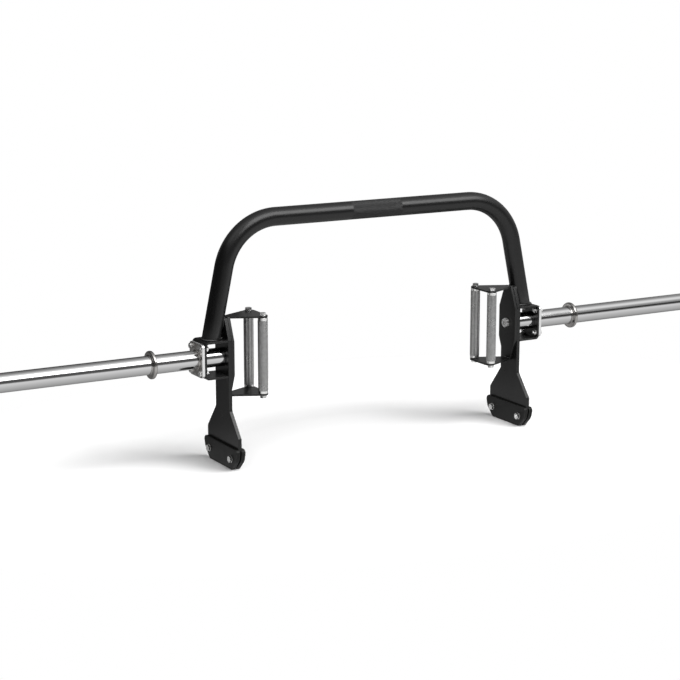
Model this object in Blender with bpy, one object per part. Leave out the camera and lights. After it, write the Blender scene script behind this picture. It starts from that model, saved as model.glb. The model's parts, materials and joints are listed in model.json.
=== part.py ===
"""Open-ended trap bar, standing on its loading feet.

A bent arch joins two side frames. Each side frame is a leg plate with a clamped foot, a box
bracket that carries the loading sleeve, and a handle cage that turns about the sleeve's axis.
Metres, +Z up. X runs along the bar, Y from front to back, and Z = 0 is the floor.

Each side is modelled once in its own frame: the origin is on the sleeve's axis at the inner
face of the leg plate, and +X points outboard. The left side is the right side turned by half
a turn, because every piece of it is symmetric from front to back.
"""

import math

import bmesh
import bpy
from mathutils import Matrix, Vector

SIDES = ("left", "right")

# Whole bar
BAR_LENGTH = 2.200
LEG_SPACING = 0.907
AXIS_HEIGHT = 0.292
SEAT_GAP = 0.0003
HOLE_CLEARANCE = 0.0005

# Arch tube
ARCH_RADIUS = 0.025
ARCH_WALL = 0.003
ARCH_HEIGHT = 0.652
ARCH_BEND_RADIUS = 0.155
ARCH_SPLAY = math.radians(12.0)
ARCH_FOOT_OFFSET = 0.0405

# Loading sleeve, a tube with a tapped boss at its inner end and a welded plate at its outer
SLEEVE_RADIUS = 0.025
SLEEVE_WALL = 0.004
SLEEVE_CHAMFER = 0.0015
SLEEVE_END_WALL = 0.006
BOSS_LENGTH = 0.030

# Stop ring round the sleeve, which the weight plates rest against
RING_RADIUS = 0.037
RING_WIDTH = 0.010
RING_OFFSET = 0.2135
RING_CHAMFER = 0.0015

# Leg plate, heights from the sleeve's axis unless they are named from the floor
LEG_THICKNESS = 0.010
NECK_WIDTH = 0.080
TONGUE_WIDTH = 0.034
TONGUE_TOP = 0.105
SHOULDER_TOP = 0.048
FOOT_WIDTH = 0.184
NECK_END_ABOVE_FLOOR = 0.152
FLARE_END_ABOVE_FLOOR = 0.087
LEG_FILLET = 0.006

# Foot pads, two moulded halves that pocket the plate between them
PAD_THICKNESS = 0.011
PAD_COVER = 0.0082
PAD_HEIGHT = 0.0595
PAD_TOP_WIDTH = 0.202
PAD_WAIST_WIDTH = 0.185
PAD_WAIST_HEIGHT = 0.027
PAD_BASE_WIDTH = 0.130
PAD_TOP_ROUNDING = 0.011
PAD_WAIST_ROUNDING = 0.030
PAD_BASE_ROUNDING = 0.005
PAD_EDGE = 0.0012
PAD_RIM = 0.0065
PAD_BOLT_SPACING = 0.130
PAD_BOLT_HEIGHT = 0.030

# Box bracket, a channel bent from plate and welded to the leg
BOX_WIDTH = 0.0665
BOX_HEIGHT = 0.100
BOX_DEPTH = NECK_WIDTH
BOX_WALL = 0.005
BOX_CORNER = 0.011

# Sleeve flange, set in from the edges of the box bracket, with its bolts set in from its own
FLANGE_THICKNESS = 0.008
FLANGE_SIDE_MARGIN = 0.001
FLANGE_END_MARGIN = 0.0055
FLANGE_CORNER = 0.010
FLANGE_BOLT_FROM_SIDE = 0.0105
FLANGE_BOLT_FROM_END = 0.012
FLANGE_WIDTH = BOX_DEPTH - 2 * FLANGE_SIDE_MARGIN
FLANGE_HEIGHT = BOX_HEIGHT - 2 * FLANGE_END_MARGIN

# Handle cage
BACK_THICKNESS = 0.008
BACK_WIDTH = NECK_WIDTH
BACK_STRAIGHT = 0.090
BACK_END_WIDTH = 0.030
BACK_ROUNDING = 0.003
YOKE_THICKNESS = 0.005
YOKE_ROUNDING = 0.016
YOKE_APEX_ROUNDING = 0.002
GRIP_LENGTH = 0.204
GRIP_RADIUS = 0.0135
GRIP_STANDOFF = 0.0905
GRIP_SPACING = 0.083
GRIP_RIM_LENGTH = 0.006
GRIP_RIM_STEP = 0.0006
GRIP_CHAMFER = 0.0008
GRIP_TAP_SPARE = 0.003

# Fasteners: shank radius, width across flats and head height. A head's chamfer height and
# the width of its round end face are shares of its width across flats.
FLANGE_BOLT = {"shank": 0.0040, "flats": 0.0130, "head": 0.0053}
FLANGE_NUT_HEIGHT = 0.0068
FOOT_BOLT = {"shank": 0.0050, "flats": 0.0165, "head": 0.0064}
FOOT_NUT_HEIGHT = 0.0080
GRIP_BOLT = {"shank": 0.0050, "flats": 0.0165, "head": 0.0064}
GRIP_BOLT_GRIP = 0.018
PIVOT_BOLT = {"shank": 0.0080, "flats": 0.0240, "head": 0.0100}
BOLT_END_SPARE = 0.0025
HEAD_CHAMFER_SHARE = 0.08
HEAD_FACE_SHARE = 0.96

# Edges and facets
PLATE_EDGE = 0.0007
RIM_ANGLE = math.radians(50.0)
ARC_SIDES = 15
BEND_STEPS = 8
TUBE_SIDES = 26
GRIP_SIDES = 18
FASTENER_SIDES = 12
HOLE_SIDES = 12
SMOOTH_ANGLE = math.radians(35.0)

# Places in a side frame that follow from the sizes above
LEG_OUTER_FACE = LEG_THICKNESS
BOX_OUTER_FACE = LEG_OUTER_FACE + BOX_WIDTH
FLANGE_INNER_FACE = BOX_OUTER_FACE + SEAT_GAP
FLANGE_OUTER_FACE = FLANGE_INNER_FACE + FLANGE_THICKNESS
BACK_OUTER_FACE = -SEAT_GAP
BACK_INNER_FACE = BACK_OUTER_FACE - BACK_THICKNESS
YOKE_INNER_FACE = GRIP_LENGTH / 2 + SEAT_GAP
YOKE_OUTER_FACE = YOKE_INNER_FACE + YOKE_THICKNESS
PAD_OUTER_FACE = LEG_OUTER_FACE + SEAT_GAP + PAD_COVER
SLEEVE_END = BAR_LENGTH / 2 - LEG_SPACING / 2

# Colour, roughness and metallic value of each finish
FINISHES = {
    "black_powder_coat": ((0.022, 0.022, 0.024), 0.42, 0.0),
    "chrome_plate": ((0.80, 0.80, 0.81), 0.10, 1.0),
    "knurled_steel": ((0.36, 0.36, 0.37), 0.42, 1.0),
    "zinc_plate": ((0.66, 0.65, 0.63), 0.28, 1.0),
    "black_moulding": ((0.024, 0.024, 0.025), 0.50, 0.0),
}


def clear_scene():
    """Removes whatever the scene already holds."""
    for obj in list(bpy.data.objects):
        bpy.data.objects.remove(obj, do_unlink=True)


def make_finish(name):
    """Makes one Principled material from its row in FINISHES."""
    colour, roughness, metallic = FINISHES[name]
    material = bpy.data.materials.new(name)
    material.use_nodes = True
    shader = material.node_tree.nodes["Principled BSDF"]
    shader.inputs["Base Color"].default_value = (*colour, 1.0)
    shader.inputs["Roughness"].default_value = roughness
    shader.inputs["Metallic"].default_value = metallic
    return material


def make_mesh(name, bm):
    """Closes a bmesh into a mesh with its faces pointing out and its curved faces smooth."""
    bmesh.ops.recalc_face_normals(bm, faces=bm.faces)
    mesh = bpy.data.meshes.new(name)
    bm.to_mesh(mesh)
    bm.free()
    mesh.shade_smooth()
    mesh.set_sharp_from_angle(angle=SMOOTH_ANGLE)
    return mesh


def add_object(name, mesh, finish, parent=None, place=(0.0, 0.0, 0.0)):
    """Adds a named piece with its own copy of a finish, at a place under its parent."""
    obj = bpy.data.objects.new(name, mesh)
    bpy.context.scene.collection.objects.link(obj)
    obj.location = place
    obj.parent = parent
    if finish:
        material = finish.copy()
        material.name = f"{name}_{finish.name}"
        mesh.materials.append(material)
    return obj


def add_empty(name, place, turn=0.0, parent=None):
    """Adds a frame that pieces hang from, turned about Z."""
    empty = bpy.data.objects.new(name, None)
    bpy.context.scene.collection.objects.link(empty)
    empty.location = place
    empty.rotation_euler = (0.0, 0.0, turn)
    empty.parent = parent
    return empty


def add_cutter(name, mesh, parent=None):
    """Adds a shape that only cuts others, so it is hidden from renders."""
    cutter = add_object(name, mesh, None, parent)
    cutter.hide_render = True
    cutter.display_type = "WIRE"
    return cutter


def cut(obj, cutter):
    """Takes the cutter's volume out of a piece."""
    boolean = obj.modifiers.new(cutter.name, "BOOLEAN")
    boolean.operation = "DIFFERENCE"
    boolean.object = cutter
    boolean.solver = "EXACT"


def rounded_outline(corners):
    """Turns (u, v, radius) corners into outline points, with each corner as an arc."""
    points = []
    for index, (u, v, radius) in enumerate(corners):
        corner = Vector((u, v))
        before = Vector(corners[index - 1][:2]) - corner
        after = Vector(corners[(index + 1) % len(corners)][:2]) - corner
        if radius <= 0.0:
            points.append(corner)
            continue
        half = before.angle(after) / 2
        reach = radius / math.tan(half)
        centre = corner + (before.normalized() + after.normalized()).normalized() * radius / math.sin(half)
        start = corner + before.normalized() * reach - centre
        sweep = math.pi - 2 * half
        sense = -math.copysign(1.0, before.x * after.y - before.y * after.x)
        steps = max(1, math.ceil(ARC_SIDES * sweep / (2 * math.pi)))
        for step in range(steps + 1):
            turn = Matrix.Rotation(sense * sweep * step / steps, 2)
            points.append(centre + turn @ start)
    return points


def grown(corners, distance):
    """Moves an outline's corners outwards, so that each side shifts by a distance."""
    moved = []
    for index, (u, v, radius) in enumerate(corners):
        corner = Vector((u, v))
        before = (corner - Vector(corners[index - 1][:2])).normalized()
        after = (Vector(corners[(index + 1) % len(corners)][:2]) - corner).normalized()
        normal = (Vector((before.y, -before.x)) + Vector((after.y, -after.x))).normalized()
        reach = distance / normal.dot(Vector((before.y, -before.x)))
        moved.append((u + normal.x * reach, v + normal.y * reach, radius))
    return moved


def both_halves(half):
    """Mirrors the corners of a right half, given from bottom to top, into a whole outline."""
    return half + [(-u, v, radius) for u, v, radius in reversed(half)]


def extruded(name, outline, start, end, place, chamfer=0.0):
    """Extrudes an outline between two depths, with place turning (u, v, depth) into X, Y, Z.

    A chamfer above zero breaks the rims of both end faces.
    """
    bm = bmesh.new()
    face = bm.faces.new([bm.verts.new(place(u, v, start)) for u, v in outline])
    shift = Vector(place(0.0, 0.0, end)) - Vector(place(0.0, 0.0, start))
    raised = bmesh.ops.extrude_face_region(bm, geom=[face])
    verts = [item for item in raised["geom"] if isinstance(item, bmesh.types.BMVert)]
    bmesh.ops.translate(bm, verts=verts, vec=shift)
    if chamfer > 0.0:
        bmesh.ops.recalc_face_normals(bm, faces=bm.faces)
        rims = [edge for edge in bm.edges if edge.calc_face_angle() > RIM_ANGLE]
        bmesh.ops.bevel(bm, geom=rims, offset=chamfer, segments=1, affect="EDGES")
    return make_mesh(name, bm)


def across(u, v, depth):
    """Places an outline in the Y-Z plane, with its depth along X."""
    return (depth, u, v)


def level(u, v, depth):
    """Places an outline in the X-Y plane, with its depth along Z."""
    return (u, v, depth)


def through(u, v, depth):
    """Places an outline in the X-Z plane, with its depth along Y."""
    return (u, depth, v)


def ring_point(angle, radius, flats, axis, along):
    """One point of a ring about X or Z: round, or a hexagon where flats is true."""
    if flats:
        sixth = math.pi / 3
        radius = radius / math.cos((angle + sixth / 2) % sixth - sixth / 2)
    first, second = radius * math.cos(angle), radius * math.sin(angle)
    return (along, first, second) if axis == "X" else (first, second, along)


def lofted(name, stations, sides, axis="X", hollow=False):
    """Lofts rings of (along, radius, flats) stations about an axis through the origin.

    A hollow loft closes its last ring onto its first; a solid one closes with end faces.
    """
    bm = bmesh.new()
    rings = []
    for along, radius, flats in stations:
        angles = [2 * math.pi * index / sides for index in range(sides)]
        rings.append([bm.verts.new(ring_point(angle, radius, flats, axis, along)) for angle in angles])
    pairs = list(zip(rings, rings[1:]))
    if hollow:
        pairs.append((rings[-1], rings[0]))
    else:
        bm.faces.new(rings[0])
        bm.faces.new(rings[-1])
    for first, second in pairs:
        for index in range(sides):
            following = (index + 1) % sides
            bm.faces.new((first[index], first[following], second[following], second[index]))
    return make_mesh(name, bm)


def peg(name, radius, start, end, axis="X", sides=HOLE_SIDES, centre=(0.0, 0.0, 0.0)):
    """Makes a round cutter between two places along an axis."""
    mesh = lofted(name, [(start, radius, False), (end, radius, False)], sides, axis)
    mesh.transform(Matrix.Translation(centre))
    return mesh


def joined(name, meshes):
    """Puts several separate cutter meshes into one."""
    bm = bmesh.new()
    for mesh in meshes:
        bm.from_mesh(mesh)
    return make_mesh(name, bm)


def bolt_mesh(name, bolt, length, axis="X"):
    """A hexagon bolt: its seat at the origin, its head towards + and its shank towards -."""
    half_flats = bolt["flats"] / 2
    chamfer = bolt["flats"] * HEAD_CHAMFER_SHARE
    stations = [
        (bolt["head"], half_flats * HEAD_FACE_SHARE, False),
        (bolt["head"] - chamfer, half_flats, True),
        (0.0, half_flats, True),
        (0.0, bolt["shank"], False),
        (-length, bolt["shank"], False),
    ]
    return lofted(name, stations, FASTENER_SIDES, axis)


def nut_mesh(name, bolt, height):
    """A hexagon nut that stands from the origin towards -X."""
    half_flats = bolt["flats"] / 2
    chamfer = bolt["flats"] * HEAD_CHAMFER_SHARE
    bore = bolt["shank"] + SEAT_GAP
    stations = [
        (0.0, bore, False),
        (0.0, half_flats, True),
        (-height + chamfer, half_flats, True),
        (-height, half_flats * HEAD_FACE_SHARE, False),
        (-height, bore, False),
    ]
    return lofted(name, stations, FASTENER_SIDES, hollow=True)


def arch_bend_start():
    """X of the arch's straight top end, from where its splayed leg meets the box bracket."""
    box_top = AXIS_HEIGHT + BOX_HEIGHT / 2
    bend_centre = ARCH_HEIGHT - ARCH_BEND_RADIUS
    leg_end = bend_centre + ARCH_BEND_RADIUS * math.sin(ARCH_SPLAY)
    foot = LEG_SPACING / 2 + ARCH_FOOT_OFFSET
    return foot - (leg_end - box_top) * math.tan(ARCH_SPLAY) - ARCH_BEND_RADIUS * math.cos(ARCH_SPLAY)


def extend_tube(bm, ring, shift):
    """Draws a tube's open end straight on, and returns the new end."""
    drawn = bmesh.ops.extrude_edge_only(bm, edges=ring)["geom"]
    verts = [item for item in drawn if isinstance(item, bmesh.types.BMVert)]
    bmesh.ops.translate(bm, verts=verts, vec=shift)
    return [item for item in drawn if isinstance(item, bmesh.types.BMEdge) and item.is_boundary]


def bend_tube(bm, ring, centre, angle):
    """Bends a tube's open end about a line along Y, and returns the new end."""
    corners = {vert for edge in ring for vert in edge.verts}
    bent = bmesh.ops.spin(
        bm,
        geom=list(ring) + list(corners),
        cent=centre,
        axis=(0.0, -1.0, 0.0),
        angle=angle,
        steps=BEND_STEPS,
    )
    return [item for item in bent["geom_last"] if isinstance(item, bmesh.types.BMEdge)]


def arch_mesh():
    """The arch's outer skin: right leg, bend, top, bend and left leg, drawn in one run."""
    start = arch_bend_start()
    bend_angle = math.pi / 2 - ARCH_SPLAY
    up_leg = Vector((-math.sin(ARCH_SPLAY), 0.0, math.cos(ARCH_SPLAY)))
    down_leg = Vector((-math.sin(ARCH_SPLAY), 0.0, -math.cos(ARCH_SPLAY)))
    centre = Vector((start, 0.0, ARCH_HEIGHT - ARCH_BEND_RADIUS))
    across_leg = Vector((math.cos(ARCH_SPLAY), 0.0, math.sin(ARCH_SPLAY)))
    leg_end = centre + across_leg * ARCH_BEND_RADIUS
    overrun = ARCH_RADIUS
    leg_length = (leg_end.z - AXIS_HEIGHT - BOX_HEIGHT / 2) / math.cos(ARCH_SPLAY) + overrun
    foot = leg_end - up_leg * leg_length
    bm = bmesh.new()
    made = bmesh.ops.create_circle(bm, cap_ends=False, radius=ARCH_RADIUS, segments=TUBE_SIDES)
    tilt = Matrix.Rotation(-ARCH_SPLAY, 4, "Y")
    bmesh.ops.transform(bm, matrix=Matrix.Translation(foot) @ tilt, verts=made["verts"])
    ring = list(bm.edges)
    ring = extend_tube(bm, ring, up_leg * leg_length)
    ring = bend_tube(bm, ring, centre, bend_angle)
    ring = extend_tube(bm, ring, Vector((-2 * start, 0.0, 0.0)))
    ring = bend_tube(bm, ring, centre * Vector((-1.0, 1.0, 1.0)), bend_angle)
    extend_tube(bm, ring, down_leg * leg_length)
    return make_mesh("arch_tube", bm)


def build_arch(finish, side_frames):
    """The arch, hollow, cut level on the box brackets and notched against the leg plates."""
    arch = add_object("arch_tube", arch_mesh(), finish)
    wall = arch.modifiers.new("wall", "SOLIDIFY")
    wall.thickness = ARCH_WALL
    wall.offset = -1.0
    wall.use_even_offset = True
    reach = BOX_HEIGHT / 2
    under = [(0.0, reach - BOX_HEIGHT, 0.0), (BOX_WIDTH * 2, reach - BOX_HEIGHT, 0.0)]
    under += [(BOX_WIDTH * 2, reach + SEAT_GAP, 0.0), (0.0, reach + SEAT_GAP, 0.0)]
    level_cut = extruded("arch_level_cut", rounded_outline(under), -BOX_DEPTH, BOX_DEPTH, through)
    notch = extruded(
        "arch_notch_cut", rounded_outline(grown(leg_corners(), SEAT_GAP)),
        -ARCH_RADIUS, LEG_OUTER_FACE + SEAT_GAP, across,
    )
    for side, frame in side_frames.items():
        cut(arch, add_cutter(f"arch_level_cutter_{side}", level_cut, frame))
        cut(arch, add_cutter(f"arch_notch_cutter_{side}", notch, frame))


def leg_corners():
    """The leg plate's outline: foot, flare, neck and the tapered tongue beside the arch."""
    rim = PAD_RIM
    floor = -AXIS_HEIGHT
    return both_halves([
        (PAD_BASE_WIDTH / 2 - rim, floor + rim, LEG_FILLET / 2),
        (PAD_WAIST_WIDTH / 2 - rim, floor + PAD_WAIST_HEIGHT + rim / 2, LEG_FILLET),
        (FOOT_WIDTH / 2, floor + PAD_HEIGHT - rim, LEG_FILLET),
        (FOOT_WIDTH / 2, floor + FLARE_END_ABOVE_FLOOR, LEG_FILLET),
        (NECK_WIDTH / 2, floor + NECK_END_ABOVE_FLOOR, LEG_FILLET * 2),
        (NECK_WIDTH / 2, SHOULDER_TOP, LEG_FILLET),
        (TONGUE_WIDTH / 2, TONGUE_TOP, LEG_FILLET / 2),
    ])


def pad_corners():
    """The foot pad's outline: flat base, slanted sides and round top corners."""
    floor = -AXIS_HEIGHT
    return both_halves([
        (PAD_BASE_WIDTH / 2, floor, PAD_BASE_ROUNDING),
        (PAD_WAIST_WIDTH / 2, floor + PAD_WAIST_HEIGHT, PAD_WAIST_ROUNDING),
        (PAD_TOP_WIDTH / 2, floor + PAD_HEIGHT, PAD_TOP_ROUNDING),
    ])


def sign_of(side):
    """The sign of X on which a side of the bar stands."""
    return 1 if side == "right" else -1


def foot_bolt_places(side):
    """Y and Z of the two bolts through a side's foot, in the side's own frame."""
    y, z = sign_of(side) * PAD_BOLT_SPACING / 2, PAD_BOLT_HEIGHT - AXIS_HEIGHT
    return {"front": (-y, z), "back": (y, z)}


def flange_bolt_places(side):
    """Y and Z of the four bolts of a side's sleeve flange, in the side's own frame."""
    y = sign_of(side) * (FLANGE_WIDTH / 2 - FLANGE_BOLT_FROM_SIDE)
    z = FLANGE_HEIGHT / 2 - FLANGE_BOLT_FROM_END
    return {
        "front_top": (-y, z),
        "back_top": (y, z),
        "front_bottom": (-y, -z),
        "back_bottom": (y, -z),
    }


def leg_plate_meshes(side):
    """The leg plate and the holes for its pivot bolt and foot bolts."""
    outline = rounded_outline(leg_corners())
    plate = extruded("leg_plate", outline, 0.0, LEG_OUTER_FACE, across, PLATE_EDGE)
    over = LEG_THICKNESS
    start, end = -over, LEG_OUTER_FACE + over
    holes = [peg("pivot_hole", PIVOT_BOLT["shank"] + HOLE_CLEARANCE, start, end)]
    for y, z in foot_bolt_places(side).values():
        radius = FOOT_BOLT["shank"] + HOLE_CLEARANCE
        holes.append(peg("foot_hole", radius, start, end, centre=(0.0, y, z)))
    return plate, joined("leg_holes", holes)


def pad_meshes(side):
    """The outer and inner foot pads, and the pocket and bolt holes cut into both."""
    outline = rounded_outline(pad_corners())
    outer_start = PAD_OUTER_FACE - PAD_THICKNESS
    outer = extruded("foot_pad_outer", outline, outer_start, PAD_OUTER_FACE, across, PAD_EDGE)
    inner_start = LEG_THICKNESS - PAD_OUTER_FACE
    inner = extruded(
        "foot_pad_inner", outline, inner_start, inner_start + PAD_THICKNESS, across, PAD_EDGE,
    )
    pocket = extruded(
        "pad_pocket", rounded_outline(grown(leg_corners(), SEAT_GAP)),
        -SEAT_GAP, LEG_OUTER_FACE + SEAT_GAP, across,
    )
    radius = FOOT_BOLT["shank"] + HOLE_CLEARANCE
    reach = PAD_OUTER_FACE + PAD_THICKNESS
    places = foot_bolt_places(side).values()
    holes = [peg("pad_hole", radius, -reach, reach, centre=(0.0, y, z)) for y, z in places]
    return outer, inner, pocket, joined("pad_holes", holes)


def box_meshes(side):
    """The box bracket's bent channel, and its sleeve hole with the four bolt holes."""
    inner_end = LEG_OUTER_FACE + SEAT_GAP
    half = BOX_HEIGHT / 2
    bend = BOX_CORNER - BOX_WALL
    wall_face = BOX_OUTER_FACE - BOX_WALL
    channel = [
        (inner_end, -half, 0.0),
        (BOX_OUTER_FACE, -half, BOX_CORNER),
        (BOX_OUTER_FACE, half, BOX_CORNER),
        (inner_end, half, 0.0),
        (inner_end, half - BOX_WALL, 0.0),
        (wall_face, half - BOX_WALL, bend),
        (wall_face, -half + BOX_WALL, bend),
        (inner_end, -half + BOX_WALL, 0.0),
    ]
    box = extruded("box_bracket", rounded_outline(channel), -BOX_DEPTH / 2, BOX_DEPTH / 2, through)
    start, end = wall_face - BOX_WALL, BOX_OUTER_FACE + BOX_WALL
    return box, wall_holes("box_holes", side, start, end)


def wall_holes(name, side, start, end):
    """The sleeve hole and four bolt holes that the bracket and the flange share."""
    holes = [peg("sleeve_hole", SLEEVE_RADIUS + HOLE_CLEARANCE, start, end, sides=TUBE_SIDES)]
    for y, z in flange_bolt_places(side).values():
        radius = FLANGE_BOLT["shank"] + HOLE_CLEARANCE
        holes.append(peg("bolt_hole", radius, start, end, centre=(0.0, y, z)))
    return joined(name, holes)


def flange_meshes(side):
    """The sleeve's flange and its holes."""
    y, z = FLANGE_WIDTH / 2, FLANGE_HEIGHT / 2
    corners = both_halves([(y, -z, FLANGE_CORNER), (y, z, FLANGE_CORNER)])
    start, end = FLANGE_INNER_FACE, FLANGE_OUTER_FACE
    plate = extruded("sleeve_flange", rounded_outline(corners), start, end, across, PLATE_EDGE)
    over = FLANGE_THICKNESS
    return plate, wall_holes("flange_holes", side, start - over, end + over)


def sleeve_mesh():
    """The sleeve, from the bottom of its bore round its boss to its closed outer end."""
    start = LEG_OUTER_FACE + SEAT_GAP
    bore = SLEEVE_RADIUS - SLEEVE_WALL
    tapping = PIVOT_BOLT["shank"] + SEAT_GAP
    profile = [
        (SLEEVE_END - SLEEVE_END_WALL, bore),
        (start + BOSS_LENGTH, bore),
        (start + BOSS_LENGTH, tapping),
        (start, tapping),
        (start, SLEEVE_RADIUS - SLEEVE_CHAMFER),
        (start + SLEEVE_CHAMFER, SLEEVE_RADIUS),
        (SLEEVE_END - SLEEVE_CHAMFER, SLEEVE_RADIUS),
        (SLEEVE_END, SLEEVE_RADIUS - SLEEVE_CHAMFER),
    ]
    return lofted("loading_sleeve", [(along, radius, False) for along, radius in profile], TUBE_SIDES)


def ring_mesh():
    """The stop ring, with chamfered rims and a bore that the sleeve runs through."""
    start, end = RING_OFFSET - RING_WIDTH / 2, RING_OFFSET + RING_WIDTH / 2
    bore = SLEEVE_RADIUS + SEAT_GAP
    profile = [
        (start, bore),
        (start, RING_RADIUS - RING_CHAMFER),
        (start + RING_CHAMFER, RING_RADIUS),
        (end - RING_CHAMFER, RING_RADIUS),
        (end, RING_RADIUS - RING_CHAMFER),
        (end, bore),
    ]
    stations = [(along, radius, False) for along, radius in profile]
    return lofted("stop_ring", stations, TUBE_SIDES, hollow=True)


def back_plate_meshes():
    """The handle cage's back plate, a long hexagon, and its pivot hole."""
    half = [
        (BACK_END_WIDTH / 2, -YOKE_OUTER_FACE, BACK_ROUNDING),
        (BACK_WIDTH / 2, -BACK_STRAIGHT / 2, BACK_ROUNDING),
        (BACK_WIDTH / 2, BACK_STRAIGHT / 2, BACK_ROUNDING),
        (BACK_END_WIDTH / 2, YOKE_OUTER_FACE, BACK_ROUNDING),
    ]
    outline = rounded_outline(both_halves(half))
    start, end = BACK_INNER_FACE, BACK_OUTER_FACE
    plate = extruded("handle_back_plate", outline, start, end, across, PLATE_EDGE)
    radius = PIVOT_BOLT["shank"] + HOLE_CLEARANCE
    over = BACK_THICKNESS
    return plate, peg("back_plate_hole", radius, start - over, end + over)


def grip_places(side):
    """X and Y of the two grips of a side's handle cage, in the side's own frame."""
    y = sign_of(side) * GRIP_SPACING / 2
    return {"front": (-GRIP_STANDOFF, -y), "back": (-GRIP_STANDOFF, y)}


def yoke_meshes(side):
    """The triangular plate at one end of a handle cage, from its seat up, and its bolt holes."""
    apex = BACK_INNER_FACE - SEAT_GAP
    base = -GRIP_STANDOFF - YOKE_ROUNDING
    half_base = GRIP_SPACING / 2 + YOKE_ROUNDING
    lean = (half_base - BACK_END_WIDTH / 2) / (apex - base)
    corner_reach = half_base + lean * YOKE_ROUNDING / 2
    corners = [
        (apex, -BACK_END_WIDTH / 2, YOKE_APEX_ROUNDING),
        (apex, BACK_END_WIDTH / 2, YOKE_APEX_ROUNDING),
        (base, corner_reach, YOKE_ROUNDING),
        (base, -corner_reach, YOKE_ROUNDING),
    ]
    plate = extruded("handle_yoke", rounded_outline(corners), 0.0, YOKE_THICKNESS, level)
    radius = GRIP_BOLT["shank"] + HOLE_CLEARANCE
    over = YOKE_THICKNESS
    holes = [
        peg("yoke_hole", radius, -over, YOKE_THICKNESS + over, "Z", centre=(x, y, 0.0))
        for x, y in grip_places(side).values()
    ]
    return plate, joined("yoke_holes", holes)


def grip_mesh():
    """A knurled grip about Z: a bar with plain rims, tapped at both ends."""
    half = GRIP_LENGTH / 2
    tap = GRIP_BOLT["shank"] + SEAT_GAP
    rim = GRIP_RADIUS - GRIP_RIM_STEP
    depth = GRIP_BOLT_GRIP + GRIP_TAP_SPARE
    upper = [
        (half - depth, tap),
        (half, tap),
        (half, rim - GRIP_CHAMFER),
        (half - GRIP_CHAMFER, rim),
        (half - GRIP_RIM_LENGTH, rim),
        (half - GRIP_RIM_LENGTH - GRIP_RIM_STEP, GRIP_RADIUS),
    ]
    stations = upper + [(-along, radius) for along, radius in reversed(upper)]
    return lofted("grip", [(along, radius, False) for along, radius in stations], GRIP_SIDES, "Z")


def build_leg(side, frame, finishes):
    """The leg plate, its two pads and their bolts and nuts."""
    plate, leg_holes = leg_plate_meshes(side)
    leg = add_object(f"leg_plate_{side}", plate, finishes["black_powder_coat"], frame)
    cut(leg, add_cutter(f"leg_hole_cutter_{side}", leg_holes, frame))
    outer, inner, pocket, pad_holes = pad_meshes(side)
    pocket_cutter = add_cutter(f"pad_pocket_cutter_{side}", pocket, frame)
    hole_cutter = add_cutter(f"pad_hole_cutter_{side}", pad_holes, frame)
    for name, mesh in (("outer", outer), ("inner", inner)):
        pad = add_object(f"foot_pad_{name}_{side}", mesh, finishes["black_moulding"], frame)
        cut(pad, pocket_cutter)
        cut(pad, hole_cutter)
    seat = PAD_OUTER_FACE + SEAT_GAP
    nut_seat = LEG_THICKNESS - seat
    length = seat - nut_seat + FOOT_NUT_HEIGHT + BOLT_END_SPARE
    for place, (y, z) in foot_bolt_places(side).items():
        bolt = bolt_mesh("foot_bolt", FOOT_BOLT, length)
        nut = nut_mesh("foot_nut", FOOT_BOLT, FOOT_NUT_HEIGHT)
        add_object(f"foot_bolt_{place}_{side}", bolt, finishes["zinc_plate"], frame, (seat, y, z))
        add_object(f"foot_nut_{place}_{side}", nut, finishes["zinc_plate"], frame, (nut_seat, y, z))


def build_bracket(side, frame, finishes):
    """The box bracket and the sleeve flange that four bolts hold to it."""
    box_shape, box_holes = box_meshes(side)
    box = add_object(f"box_bracket_{side}", box_shape, finishes["black_powder_coat"], frame)
    cut(box, add_cutter(f"box_hole_cutter_{side}", box_holes, frame))
    flange_shape, flange_holes = flange_meshes(side)
    flange = add_object(f"sleeve_flange_{side}", flange_shape, finishes["chrome_plate"], frame)
    cut(flange, add_cutter(f"flange_hole_cutter_{side}", flange_holes, frame))
    seat = FLANGE_OUTER_FACE + SEAT_GAP
    nut_seat = BOX_OUTER_FACE - BOX_WALL - SEAT_GAP
    length = seat - nut_seat + FLANGE_NUT_HEIGHT + BOLT_END_SPARE
    for place, (y, z) in flange_bolt_places(side).items():
        bolt = bolt_mesh("flange_bolt", FLANGE_BOLT, length)
        nut = nut_mesh("flange_nut", FLANGE_BOLT, FLANGE_NUT_HEIGHT)
        add_object(f"flange_bolt_{place}_{side}", bolt, finishes["zinc_plate"], frame, (seat, y, z))
        add_object(f"flange_nut_{place}_{side}", nut, finishes["zinc_plate"], frame, (nut_seat, y, z))


def build_sleeve(side, frame, finishes):
    """The loading sleeve and the stop ring round it."""
    add_object(f"loading_sleeve_{side}", sleeve_mesh(), finishes["chrome_plate"], frame)
    add_object(f"stop_ring_{side}", ring_mesh(), finishes["chrome_plate"], frame)


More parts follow.
